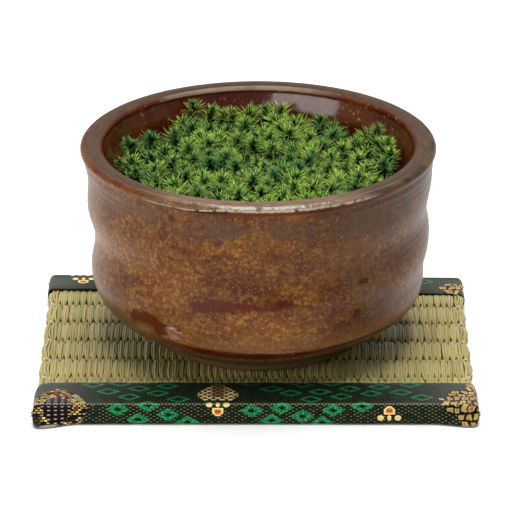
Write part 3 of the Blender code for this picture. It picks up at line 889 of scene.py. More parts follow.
@dataclass(frozen=True)
class MossGreen:
    """Finish of the needles: dark teal at the base, green, and bright yellow-green at the tip.

    Blue is the middle of a needle on a less yellow shoot, which the low shoots get more of as painted shade,
    and old the withered tips. The tip tone is partly painted light, laid most on the outer needles high on a
    shoot; needles low on a stem are darkened as painted shade.
    """

    base: Colour = tone(1, 18, 9)
    middle: Colour = tone(24, 94, 34)
    blue: Colour = tone(6, 84, 46)
    tip: Colour = tone(184, 216, 76)
    old: Colour = tone(128, 92, 48)

    def make(self) -> bpy.types.Material:
        """Builds the material from what the needles carry.

        Returns:
            The material.
        """
        p = Painter("moss_needles")
        along, tint, depth, mood = (p.carried(name) for name in ("along", "tint", "depth", "mood"))
        middle = p.mix(mood, self.blue, self.middle)
        body = p.mix(p.rise(along, 0.0, 0.6), self.base, middle)
        # Painted light: the tip tone is laid most on the outer needles high on a shoot, and less on the
        # topmost bud and the low needles.
        outside = p.product(p.rise(depth, 1.0, 0.25), p.rise(depth, 0.0, 0.1))
        lit = p.product(outside, p.total(0.2, p.product(mood, 0.85)))
        body = p.mix(p.product(p.rise(along, 0.25, 1.0), lit), body, self.tip)
        aged = p.product(p.rise(tint, 0.96, 0.98), p.rise(along, 0.3, 0.9))
        body = p.mix(aged, body, self.old)
        # Painted shade: needles low on the stem darken toward the base tone.
        body = p.mix(p.product(p.rise(depth, 0.25, 1.0), 0.88), body, self.base)
        return p.finish(
            base_color=body, roughness=0.5, specular_ior_level=0.25, subsurface_weight=0.1,
            subsurface_radius=(0.6 * MM, 1.2 * MM, 0.3 * MM), subsurface_scale=1.0)


@dataclass(frozen=True)
class ShadedOldGrowth:
    """Finish of the old growth under the living shoots, nearly black as painted shade between them."""

    # Near-black tones, painted shade deep between the shoots.
    dark: Colour = tone(2, 10, 3)
    brown: Colour = tone(20, 20, 8)

    def make(self) -> bpy.types.Material:
        """Builds the material: a noise mixes dark green and brown, over a fibrous bump.

        Returns:
            The material.
        """
        p = Painter("old_growth_shade")
        body = p.mix(p.rise(p.noise(300, 4, 0.7), 0.4, 0.65), self.dark, self.brown)
        fibres = p.bump(p.noise(1400, 3, 0.7), 0.8 * MM)
        return p.finish(base_color=body, roughness=0.95, specular_ior_level=0.1, normal=fibres)


@dataclass(frozen=True)
class Earth:
    """Finish of the planting soil, between its dark and its light crumbs."""

    dark: Colour = tone(34, 24, 16)
    light: Colour = tone(74, 54, 36)

    def make(self) -> bpy.types.Material:
        """Builds the material: a noise mixes the two browns, over a bump of Voronoi crumbs.

        Returns:
            The material.
        """
        p = Painter("planting_soil")
        crumbs = p.node("TexVoronoi", {"Vector": p.place, "Scale": 900.0}, "Distance")
        body = p.mix(p.rise(p.noise(700, 3, 0.6), 0.4, 0.7), self.dark, self.light)
        return p.finish(base_color=body, roughness=0.95, normal=p.bump(crumbs, 0.6 * MM))


@dataclass
class MossClump:
    """Clump of star-shaped moss shoots in seven tufts; sizes in millimetres above the rush.

    Depths are counted down from the bowl's lip. The leading shoots and the older tiers under three
    of them are places and depths, the bare patches are places and radii.

    Fields:
        wall_radius: Radius past which the bowl's wall bends a needle in.
        count, reach: Shoots of the sunflower head, before some are left out, and its radius.
        fall, star: Slope of a shoot's cone, and how strongly it is star-shaped.
        needle_bow, bud_share: A tip's turn up and the topmost needles' length, as shares of length.
        top_angle, angle_fall: Steepness of the topmost needles, and how far it falls, in degrees.
        mood: How yellow the high and the low shoots are on average, from 0 to 1; the low shoots' lower value
            is partly painted shade.
        fillers, litter: Lower shoots between the others, and loose needles in each bare patch.
    """

    base: float = 7.2
    rim_height: float = 70.9
    soil_top: float = 51.0
    soil_radius: float = 49.9
    soil_section: tuple = (
        (49.9, 47.4), (49.4, 38.4), (48.3, 28.4), (45.0, 20.2), (38.0, 13.8), (26.5, 10.5), (12.5, 9.5),
        (1.0, 9.3))
    bed_radius: float = 47.2
    bed_wave: float = 0.5
    bed_depth: float = 4.0
    wall_radius: float = 50.0
    seed: int = 11
    count: int = 132
    reach: float = 46.8
    jitter: float = 1.1
    clearance: float = 6.2
    depth: float = 6.2
    depth_range: Pair = (-1.1, 1.3)
    back_rise: float = 1.6
    fall: float = 1.0
    star: float = 0.4
    star_points: int = 6
    moss_floor: float = 5.0
    needles: int = 130
    needle_length: float = 5.5
    needle_radius: float = 0.17
    needle_bow: float = 0.06
    top_angle: float = 66.0
    angle_fall: float = 88.0
    bud_share: float = 0.48
    stem_length: float = 7.0
    leading_stem: float = 1.35
    crown: float = 2.5
    # The low shoots are less yellow, partly as painted shade.
    mood: Pair = (0.66, 0.45)
    fillers: int = 170
    filler_needles: int = 80
    filler_stem: float = 0.7
    litter: int = 260
    leading: tuple = (
        (-23.0, 43.5, 0.6), (-16.0, 43.0, 2.2), (-9.5, 42.5, 3.0), (-3.0, 43.0, 3.2), (2.5, 44.0, 2.6),
        (8.5, 44.0, 2.2), (13.0, 36.0, 4.4), (22.0, 38.0, 4.0), (27.0, 32.0, 6.8), (34.0, 19.5, 5.2),
        (38.0, 23.5, 4.4), (42.0, 21.5, 1.2), (45.5, 13.0, 2.6), (46.0, 5.0, 3.4), (37.0, -7.0, 5.0),
        (43.5, -2.5, 5.0), (-45.5, 10.0, 1.6), (-38.0, 24.0, 5.0), (-43.5, 0.5, 4.6), (-42.0, -8.0, 5.6),
        (-35.5, -7.0, 5.0), (-29.5, 27.0, 5.6), (-32.0, 15.0, 6.4), (-0.5, 6.0, 7.4))
    second_tiers: tuple = ((-22.2, 42.0, 7.4), (26.5, 37.0, 7.5), (-38.5, 21.0, 8.5))
    bare: tuple = ((-34.0, 36.0, 8.5), (34.5, 33.0, 7.5))
    tufts: tuple = (
        ("left", -37.0, 4.0), ("back_left", -20.0, 33.0), ("back_right", 12.0, 33.0), ("right", 39.0, 10.0),
        ("front_left", -20.0, -26.0), ("front_right", 21.0, -27.0), ("middle", 1.0, 2.0))

    def places(self) -> tuple[Array, Array]:
        """Places every shoot as the part does: the leading ones, then a sunflower head between them.

        Shoot k stands at k golden angles, at a radius that grows with the square root of k.

        Returns:
            Rows of x, y and tip height, and each star's turn.
        """
        random = np.random.default_rng(self.seed)
        found = [(x, y, self.rim_height - depth) for x, y, depth in self.leading]
        for k in range(self.count):
            radius = self.reach * math.sqrt((k + 0.5) / self.count)
            x = radius * math.cos(k * GOLDEN_ANGLE) + random.uniform(-self.jitter, self.jitter)
            y = radius * math.sin(k * GOLDEN_ANGLE) + random.uniform(-self.jitter, self.jitter)
            depth = self.depth + random.uniform(*self.depth_range)
            depth -= self.back_rise * min(1.0, max(0.0, y / self.reach))
            is_bare = any(math.hypot(x - px, y - py) < reach for px, py, reach in self.bare)
            is_near = any(math.hypot(x - lx, y - ly) < self.clearance for lx, ly, _ in self.leading)
            if not (is_bare or is_near):
                found.append((x, y, self.rim_height - depth))
        found = np.array(found)
        return found, random.uniform(0.0, FULL_TURN, len(found))

    def height(self, x: Array, y: Array) -> Array:
        """Gives the clump's surface: the highest of all shoots' star-shaped cones at each place.

        Args:
            x: First coordinate in millimetres.
            y: Second coordinate in millimetres.

        Returns:
            Height above the rush in millimetres.
        """
        found, turns = self.places()
        across = x[..., None] - found[:, 0]
        along = y[..., None] - found[:, 1]
        star = 1.0 + self.star * np.cos(self.star_points * np.arctan2(along, across) + turns)
        cones = found[:, 2] - self.fall * np.hypot(across, along) * star
        return np.maximum(cones.max(axis=-1), self.soil_top + self.moss_floor)

    def filler_places(self, random: np.random.Generator) -> tuple[Array, Array]:
        """Places lower shoots between the others: a second sunflower head under the clump's surface.

        Args:
            random: The source of the small differences.

        Returns:
            Rows of x, y and tip height, and each star's turn.
        """
        number = np.arange(self.fillers)
        radius = self.reach * np.sqrt((number + 0.5) / self.fillers)
        turn = number * GOLDEN_ANGLE + 2.0
        x = radius * np.cos(turn) + random.uniform(-1.5, 1.5, self.fillers)
        y = radius * np.sin(turn) + random.uniform(-1.5, 1.5, self.fillers)
        z = self.height(x, y) + random.uniform(-2.0, 0.6, self.fillers)
        is_open = np.zeros(self.fillers, bool)
        for px, py, reach in self.bare:
            is_open |= np.hypot(x - px, y - py) < reach - 1.0
        tips = np.stack([x, y, z], axis=1)[~is_open]
        tiers = np.array(self.second_tiers)
        tiers[:, 2] = self.rim_height - tiers[:, 2]
        tips = np.vstack([tiers, tips])
        return tips, random.uniform(0.0, FULL_TURN, len(tips))

    def needle_frames(self, tips: Array, turns: Array, stem: float | Array, needles: int, mood: float,
                      random: np.random.Generator) -> dict[str, Array]:
        """Sets each needle's root, direction and length round its shoot's stem.

        Needle k stands k golden angles round the stem. Down the stem the needles open from a steep,
        short bud to long leaves that droop, by a power of the share of the stem. The whole shoot
        leans a little, outward on average.

        Args:
            tips: Rows of x, y and tip height of the shoots.
            turns: Each shoot's own turn.
            stem: Each shoot's leafy length.
            needles: Needles on a shoot.
            mood: How yellow the shoots are on average.
            random: The source of the small differences.

        Returns:
            Roots, directions, lengths, and the numbers that the finish reads, one row a needle.
        """
        shoots = len(tips)
        number = np.arange(needles)[None, :]
        share = (number + 0.5) / needles
        wobble = random.normal(0.0, 1.0, (3, shoots, needles))
        turn = turns[:, None] + GOLDEN_ANGLE * number + 0.35 * wobble[0]
        rise = np.radians(self.top_angle - self.angle_fall * share**0.55 + 12.0 * wobble[1])
        grown = self.bud_share + (1.0 - self.bud_share) * smooth_step(share, 0.0, 0.3)
        length = self.needle_length * grown * (1.0 + 0.14 * wobble[2])
        length = length * np.clip(random.normal(0.98, 0.13, (shoots, 1)), 0.72, 1.15)
        lean = random.normal(0.0, 0.3, (shoots, 2)) + 0.1 * tips[:, :2] / self.reach
        below = stem * share**1.1
        root = np.stack([
            tips[:, 0:1] - lean[:, 0:1] * below,
            tips[:, 1:2] - lean[:, 1:2] * below,
            tips[:, 2:3] - self.crown - below], axis=-1)
        way = np.stack([np.cos(rise) * np.cos(turn), np.cos(rise) * np.sin(turn), np.sin(rise)], axis=-1)
        way[..., :2] += lean[:, None, :] * 0.7
        drift = 0.3 * np.sin(0.16 * tips[:, :1] + 0.6) * np.sin(0.19 * tips[:, 1:2] + 0.4)
        moods = np.clip(mood + drift + random.normal(0.0, 0.3, (shoots, 1)), 0.0, 1.0)
        return {
            "root": root.reshape(-1, 3),
            "way": way.reshape(-1, 3),
            "length": length.reshape(-1),
            "depth": np.broadcast_to(share, (shoots, needles)).reshape(-1),
            "tint": random.uniform(0.0, 1.0, shoots * needles),
            "mood": np.broadcast_to(moods, (shoots, needles)).reshape(-1),
        }

    def needle_surface(self, frames: dict[str, Array]) -> Surface:
        """Grows closed three-sided needles: a root ring, a middle ring, and a point that turns up.

        A needle that would reach into the bowl's wall is drawn in toward the axis.

        Args:
            frames: What needle_frames gives.

        Returns:
            All needles of the tuft.
        """
        up = np.array((0.0, 0.0, 1.0))
        way = frames["way"] / np.linalg.norm(frames["way"], axis=1, keepdims=True)
        side = np.cross(way, up)
        side /= np.maximum(np.linalg.norm(side, axis=1, keepdims=True), 1e-6)
        over = np.cross(side, way)
        length = frames["length"][:, None]
        corner = (FULL_TURN * np.arange(3) / 3.0 + 0.5 * math.pi)[None, :, None]
        ring = np.cos(corner) * side[:, None, :] + 0.7 * np.sin(corner) * over[:, None, :]
        root = frames["root"]
        middle = root + 0.5 * length * way
        tip = root + length * 0.98 * way + self.needle_bow * length * up
        points = np.concatenate([
            root[:, None, :] + 0.75 * self.needle_radius * ring,
            middle[:, None, :] + self.needle_radius * ring, tip[:, None, :]], axis=1)
        flat = np.hypot(points[..., 0], points[..., 1])
        squeeze = np.minimum(1.0, self.wall_radius / np.maximum(flat, 1e-6))
        points[..., :2] *= squeeze[..., None]
        points[..., 2] += self.base
        count, each = points.shape[:2]
        start = each * np.arange(count)[:, None, None]
        quads = np.array([[0, 1, 4, 3], [1, 2, 5, 4], [2, 0, 3, 5]]) + start
        triangles = np.array([[0, 2, 1], [3, 4, 6], [4, 5, 6], [5, 3, 6]]) + start
        values = {key: np.repeat(frames[key], each) for key in ("depth", "tint", "mood")}
        values["along"] = np.tile((0.0, 0.0, 0.0, 0.5, 0.5, 0.5, 1.0), count)
        return Surface(
            points.reshape(-1, 3) * MM, quads.reshape(-1, 4), triangles.reshape(-1, 3), values=values)

    def nearest_tuft(self, tips: Array) -> Array:
        """Gives the number of the tuft whose centre is nearest to each shoot."""
        centres = np.array([(x, y) for _, x, y in self.tufts])
        return np.linalg.norm(tips[:, None, :2] - centres[None], axis=2).argmin(axis=1)

    def bed_surface(self) -> Surface:
        """Makes the old growth: a disc whose top follows the clump's surface a little below it, dark as
        painted shade between the shoots.

        The top sinks under the soil in the bare patches.

        Returns:
            The closed disc.
        """
        share = np.linspace(0.02, 1.0, 60)[:, None]
        angle = turns_round(180)
        edge = (self.bed_radius + self.bed_wave * np.sin(3.0 * angle + 0.7)) * share
        x = edge * np.cos(angle)
        y = edge * np.sin(angle)
        z = self.height(x, y) - self.bed_depth * (1.0 + smooth_step(share, 0.93, 1.0))
        for px, py, reach in self.bare:
            open_share = smooth_step(-np.hypot(x - px, y - py), -reach + 1.0, -reach + 3.5)
            z = z * (1.0 - open_share) + (self.soil_top - 1.0) * open_share
        bottom = np.full_like(z[-1:], self.soil_top - 1.5)
        x = np.vstack([x, x[-1:], 0.02 * x[-1:]])
        y = np.vstack([y, y[-1:], 0.02 * y[-1:]])
        z = np.vstack([z, bottom, bottom])
        return close_disc(np.stack([x, y, z], axis=-1), self.base)

    def soil_surface(self) -> Surface:
        """Makes the soil: a crumbly disc that fills the bowl to the soil's top.

        The top's height is the sum of three crossed sines in x and y, which read as crumbs.

        Returns:
            The closed body of soil.
        """
        angle = turns_round(150)
        radius = self.soil_radius * np.linspace(0.02, 1.0, 90)[:, None]
        x = radius * np.cos(angle)
        y = radius * np.sin(angle)
        crumbs = 0.25 * np.sin(2.7 * x) * np.sin(2.3 * y) + 0.15 * np.sin(4.9 * x + 1.7 * y)
        z = self.soil_top - 0.45 + crumbs + 0.1 * np.sin(7.3 * y - 2.0 * x)
        below = np.array(self.soil_section)
        x = np.vstack([x, below[:, :1] * np.cos(angle)])
        y = np.vstack([y, below[:, :1] * np.sin(angle)])
        z = np.vstack([z, np.broadcast_to(below[:, 1:], (len(below), angle.size))])
        return close_disc(np.stack([x, y, z], axis=-1), self.base)

    def litter_frames(self, random: np.random.Generator) -> dict[str, Array]:
        """Lays old, loose needles flat on the soil of the bare patches.

        Args:
            random: The source of their places and turns.

        Returns:
            The same arrays as needle_frames.
        """
        patch = np.repeat(np.array(self.bare), self.litter, axis=0)
        count = len(patch)
        turn = random.uniform(0.0, FULL_TURN, (2, count))
        away = patch[:, 2] * np.sqrt(random.uniform(0.0, 1.0, count))
        root = np.stack([
            patch[:, 0] + away * np.cos(turn[0]), patch[:, 1] + away * np.sin(turn[0]),
            self.soil_top + random.uniform(0.2, 1.6, count)], axis=-1)
        way = np.stack([np.cos(turn[1]), np.sin(turn[1]), random.normal(0.0, 0.12, count)], axis=-1)
        return {
            "root": root,
            "way": way,
            "length": random.uniform(2.5, 4.5, count),
            "depth": np.full(count, 0.7),
            "tint": random.uniform(0.6, 1.0, count),
            "mood": np.full(count, 0.5),
        }

    def build(self) -> None:
        """Makes the soil, the old growth, the seven tufts of shoots and the loose needles."""
        green = MossGreen().make()
        dress(self.soil_surface().make("soil_crumbs"), Earth().make(), ("soil",))
        dress(self.bed_surface().make("old_growth_shade"), ShadedOldGrowth().make())
        random = np.random.default_rng(self.seed + 1)
        tips, turns = self.places()
        is_leading = (np.arange(len(tips)) < len(self.leading))[:, None]
        stems = self.stem_length * np.where(is_leading, self.leading_stem, 1.0)
        low_tips, low_turns = self.filler_places(random)
        low_stem = self.filler_stem * self.stem_length
        nearest = self.nearest_tuft(tips)
        low_nearest = self.nearest_tuft(low_tips)
        for number, (name, _, _) in enumerate(self.tufts):
            mine = nearest == number
            low = low_nearest == number
            high = self.needle_frames(
                tips[mine], turns[mine], stems[mine], self.needles, self.mood[0], random)
            under = self.needle_frames(
                low_tips[low], low_turns[low], low_stem, self.filler_needles, self.mood[1], random)
            frames = {key: np.concatenate([high[key], under[key]]) for key in high}
            piece = self.needle_surface(frames).make(f"moss_{name}_shoots")
            dress(piece, green, (f"moss_{name}",))
        dress(self.needle_surface(self.litter_frames(random)).make("moss_litter"), green)


@dataclass(frozen=True)
class MatShape:
    """Sizes that the mat's pieces share, in millimetres; the skew makes the left end deeper."""

    length: float = 150.0
    depth: float = 109.1
    centre_x: float = -0.8
    front_y: float = -62.7
    skew: float = 1.4
    height: float = 7.4
    rush_top: float = 7.2
    rush_pressed: float = 6.6
    rush_width: float = 147.4
    front_width: float = 17.6
    back_width: float = 13.8
    back_taper: float = 1.4
    underlap: float = 11.6

    def place(self, x: Array, behind: Array, z: Array) -> Array:
        """Places points of the mat, stretched in depth toward its left end.

        Args:
            x: Distance from the mat's middle to the right.
            behind: Distance behind the front edge.
            z: Height.

        Returns:
            The points.
        """
        stretch = 1.0 - (self.skew / self.depth) * x / (0.5 * self.length)
        x, behind, z, stretch = np.broadcast_arrays(x, behind, z, stretch)
        return np.stack([x + self.centre_x, self.front_y + behind * stretch, z], axis=-1)


@dataclass(frozen=True)
class RushStraw:
    """Finish of the woven rush: straw stems, each a little greener or browner than the next."""

    straw: Colour = tone(172, 158, 100)
    green: Colour = tone(146, 141, 82)
    brown: Colour = tone(138, 112, 58)

    def make(self) -> bpy.types.Material:
        """Builds the material from each stem's own number and fine streaks along it.

        Returns:
            The material.
        """
        p = Painter("rush_straw")
        stem = p.carried("stem")
        streaks = p.noise(1.0, 3, 0.6, p.stretched((2600, 130, 2600)))
        body = p.mix(p.rise(stem, 0.0, 0.55), self.green, self.straw)
        body = p.mix(p.product(p.rise(stem, 0.78, 1.0), 0.7), body, self.brown)
        body = p.mix(p.product(p.rise(streaks, 0.5, 0.75), 0.4), body, self.brown)
        body = p.mix(p.product(p.rise(p.noise(90, 2), 0.45, 0.7), 0.3), body, self.green)
        return p.finish(base_color=body, roughness=0.55, ior=1.45, normal=p.bump(streaks, 0.08 * MM))


@dataclass(frozen=True)
class DarkRush:
    """Finish of the rush deep in the weave, darkened as painted shade, between a dark and a lighter straw
    tone.
    """

    # Straw tones darkened as painted shade under the floats.
    dark: Colour = tone(56, 46, 24)
    light: Colour = tone(84, 70, 38)

    def make(self) -> bpy.types.Material:
        """Builds the material: a noise drawn out along the stems mixes the two tones.

        Returns:
            The material.
        """
        p = Painter("rush_deep")
        streaks = p.noise(1.0, 2, 0.5, p.stretched((1500, 120, 1500)))
        return p.finish(base_color=p.mix(streaks, self.dark, self.light), roughness=0.9)


@dataclass(frozen=True)
class Hemp:
    """Finish of the pale warp threads at the mat's edges, between a light and a darker yarn."""

    light: Colour = tone(206, 196, 164)
    dark: Colour = tone(176, 160, 118)

    def make(self) -> bpy.types.Material:
        """Builds the material: a fine noise mixes the two yarns, and a finer one stands up as fuzz.

        Returns:
            The material.
        """
        p = Painter("warp_hemp")
        body = p.mix(p.noise(900, 3), self.light, self.dark)
        return p.finish(base_color=body, roughness=0.8, normal=p.bump(p.noise(2400, 2), 0.2 * MM))


@dataclass
class RushFacing:
    """Woven rush: bundles of stems float over one row, then dive under the next row's bundles.

    Sizes are in millimetres, and the widths are a bundle's. The presses and the scallop's reach
    are a pair of distances from an edge, between which they set in. A bundle lies lower by relief
    at its row line, every second one by second_relief more, and its outer stems by rounding. It
    runs on by overlap before it dives, and by tuck in all.
    """

    shape: MatShape
    pitch: float = 2.3
    row: float = 15.2
    first_line: float = 23.2
    rows: int = 6
    stems: int = 3
    rings: int = 11
    corner: float = 1.5
    lowest: float = 1.15
    middle_width: float = 2.36
    line_width: float = 1.2
    tip_width: float = 0.7
    stem_height: float = 0.42
    relief: float = 0.3
    second_relief: float = 0.25
    overlap: float = 1.0
    tuck: float = 2.2
    dive: float = 1.2
    rounding: float = 0.55
    scallop: float = 0.9
    scallop_reach: Pair = (9.5, 6.5)
    covered: Pair = (3.6, 1.2)
    press_front: Pair = (2.2, 0.2)
    press_back: Pair = (2.6, 0.6)
    under_depths: Pair = (1.15, 1.6)
    thread_radius: float = 0.3
    thread_gap: float = 0.42
    thread_length: float = 8.3
    thread_rings: int = 14
    seed: int = 5

    def wrap(self, along: Array, depth: Array) -> tuple[Array, Array]:
        """Carries a place round the cover: up the left side, over the top and down the right side.

        Args:
            along: Distance from the middle of the top, across the mat, to the right.
            depth: Depth under the cover's surface.

        Returns:
            x from the mat's middle, and z.
        """
        half = 0.5 * self.shape.rush_width
        flat = half - self.corner
        arc = 0.5 * math.pi * self.corner
        far = np.abs(along)
        turn = np.clip((far - flat) / self.corner, 0.0, 0.5 * math.pi)
        drop = np.maximum(0.0, far - flat - arc)
        reach = self.corner - depth
        x = np.minimum(far, flat) + reach * np.sin(turn)
        z = self.shape.rush_top - self.corner + reach * np.cos(turn) - drop
        return np.sign(along) * x, z

    def pressed(self, behind: Array) -> Array:
        """Gives how far the bindings press the rush down.

        Args:
            behind: Distance behind the front edge.

        Returns:
            The depth.
        """
        front = self.shape.front_width
        back = self.shape.depth - self.shape.back_width
        from_front = smooth_step(-behind, -front - self.press_front[0], -front - self.press_front[1])
        from_back = smooth_step(behind, back - self.press_back[0], back - self.press_back[1])
        return (self.shape.rush_top - self.shape.rush_pressed) * np.maximum(from_front, from_back)

    def half_girth(self) -> float:
        """Gives the distance from the middle of the top to the foot of a side."""
        flat = 0.5 * self.shape.rush_width - self.corner
        return flat + 0.5 * math.pi * self.corner + self.shape.rush_top - self.corner - self.lowest

    def course(self, row: Array) -> Array:
        """Spaces a stem's rings from its row line to the next, a tuck past both and under the bindings.

        Args:
            row: Number of each stem's row.

        Returns:
            Distances of the rings behind the front edge.
        """
        start = np.maximum(
            self.first_line + self.row * row - self.tuck, self.shape.front_width - self.covered[0])
        open_end = self.shape.depth - self.shape.back_width + self.shape.back_taper + self.covered[1]
        end = np.minimum(self.first_line + self.row * (row + 1) + self.tuck, open_end)
        step = np.linspace(0.0, 1.0, self.rings).reshape(1, -1, 1)
        step = step + 0.07 * np.sin(FULL_TURN * 2.0 * step) / 2.0
        return start + (end - start) * step

    def weave(self) -> Surface:
        """Lays every stem as a closed tube.

        A bundle's width is its end width plus a cosine swell along the row. Past the row line the
        stems dive in a straight line. Bundles of alternate rows stand half a pitch aside, and at
        the mat's sides they bulge out by the square of a sine along the row.

        Returns:
            All stems, each with the number that its tone follows.
        """
        random = np.random.default_rng(self.seed)
        girth = self.half_girth()
        columns = int(2.0 * girth / self.pitch)
        number, row, stem = (a.reshape(-1, 1, 1) for a in np.meshgrid(
            np.arange(columns), np.arange(-1, self.rows - 1), np.arange(self.stems), indexing="ij"))
        total = len(number)
        bundle = random.normal(0.0, 1.0, (4, columns, self.rows))
        bundle = np.repeat(bundle[..., None], self.stems, axis=3).reshape(4, total, 1, 1)
        own = random.normal(0.0, 1.0, (4, total, 1, 1))
        behind = self.course(row)
        phase = (behind - self.first_line) / self.row - row - 0.5
        away = np.abs(phase) * self.row
        line = 0.5 * self.row
        swell = smooth_step(-away, -line, -0.45 * line)
        beyond = smooth_step(away, line, line + self.tuck)
        width = self.tip_width + (self.line_width - self.tip_width) * (1.0 - beyond)
        width = (width + (self.middle_width - self.line_width) * swell) * (1.0 + 0.05 * bundle[0])
        centre = -girth + self.pitch * (number + 0.5 + 0.5 * (row % 2))
        centre = centre + 0.10 * bundle[1] + 0.07 * bundle[2] * phase
        place = (stem - 0.5 * (self.stems - 1)) / self.stems * (1.0 + 0.1 * own[0])
        along = centre + place * width + 0.06 * own[1] * np.sin(FULL_TURN * phase + own[2])
        half_width = width / (2.0 * self.stems) * 1.28 * (1.0 + 0.08 * own[3])
        half_height = self.stem_height * (0.8 + 0.2 * swell)
        past = np.maximum(0.0, away - line - self.overlap) / (self.tuck - self.overlap)
        fall = self.relief + ((number + row) % 2) * self.second_relief
        sink = fall * (1.0 - swell) + self.dive * past + self.rounding * (2.0 * place) ** 2
        sink = sink + 0.05 * np.abs(bundle[3]) + self.pressed(behind)
        angle = FULL_TURN * (np.arange(TUBE_SIDES) + 0.5).reshape(1, 1, -1) / TUBE_SIDES
        across = along + half_width * np.cos(angle)
        x, z = self.wrap(np.clip(across, -girth, girth), sink + half_height * (1.0 - np.sin(angle)))
        at_edge = smooth_step(np.abs(along), *(girth - reach for reach in self.scallop_reach))
        bulge = self.scallop * at_edge * np.sin(math.pi * (behind - self.first_line) / self.row) ** 2
        points = self.shape.place(x + np.sign(x) * bulge, behind, np.maximum(z, self.lowest - 0.1))
        shade = np.clip(0.45 + 0.16 * bundle[2] + 0.2 * own[0], 0, 1).reshape(-1)
        return Surface(
            points.reshape(-1, 3) * MM, tube_quads(total, self.rings).reshape(-1, 4),
            values={"stem": np.repeat(shade, self.rings * TUBE_SIDES)})

    def ground(self) -> Surface:
        """Makes the layer under the floats, dark as painted shade: a thin sheet wrapped round the mat.

        Returns:
            The closed sheet.
        """
        girth = self.half_girth()
        along = np.linspace(-girth, girth, 140)[:, None]
        behind = np.linspace(2.0, self.shape.depth - 2.0, 60)[None, :]
        shells = []
        for depth in self.under_depths:
            x, z = self.wrap(along, np.full_like(along, depth))
            shells.append(self.shape.place(x, behind, z) * MM)
        uv = np.stack(np.broadcast_arrays(along, behind), axis=-1) * MM
        return thick_sheet(shells[0], shells[1], uv)

    def warp_ends(self) -> Surface:
        """Makes the pale warp threads that cross the edge at each row line, two side by side.

        Each is a tube that runs in from the foot of a side and sinks between the stems. It waves
        over and under them as a sine of its length.

        Returns:
            The threads' tubes.
        """
        lines = self.first_line + self.row * np.arange(self.rows - 1)
        pairs = (lines[:, None] + np.array((-self.thread_gap, self.thread_gap))).reshape(-1)
        behind, side = (a.reshape(-1, 1, 1) for a in np.meshgrid(pairs, (-1.0, 1.0), indexing="ij"))
        step = np.linspace(0.0, 1.0, self.thread_rings).reshape(1, -1, 1)
        angle = FULL_TURN * np.arange(TUBE_SIDES).reshape(1, 1, -1) / TUBE_SIDES
        along = side * (self.half_girth() - self.thread_radius - step * self.thread_length)
        depth = 0.5 + 0.9 * smooth_step(step, 0.72, 1.0) - 0.12 * np.sin(math.pi * 6.0 * step)
        x, z = self.wrap(along, depth - self.thread_radius * np.sin(angle))
        points = self.shape.place(x, behind + self.thread_radius * np.cos(angle), z)
        quads = tube_quads(len(side), self.thread_rings)
        quads = np.where(side < 0.0, quads[..., ::-1], quads)
        return Surface(points.reshape(-1, 3) * MM, quads.reshape(-1, 4))

    def build(self) -> None:
        """Makes the weave, the dark layer under it and the warp threads at its edges."""
        dress(self.weave().make("rush_weave"), RushStraw().make(), ("rush_facing",))
        dress(self.ground().make("rush_under"), DarkRush().make())
        dress(self.warp_ends().make("warp_threads"), Hemp().make())


class Side(Enum):
    """Which long edge of the mat a binding covers."""

    FRONT = "front"
    BACK = "back"


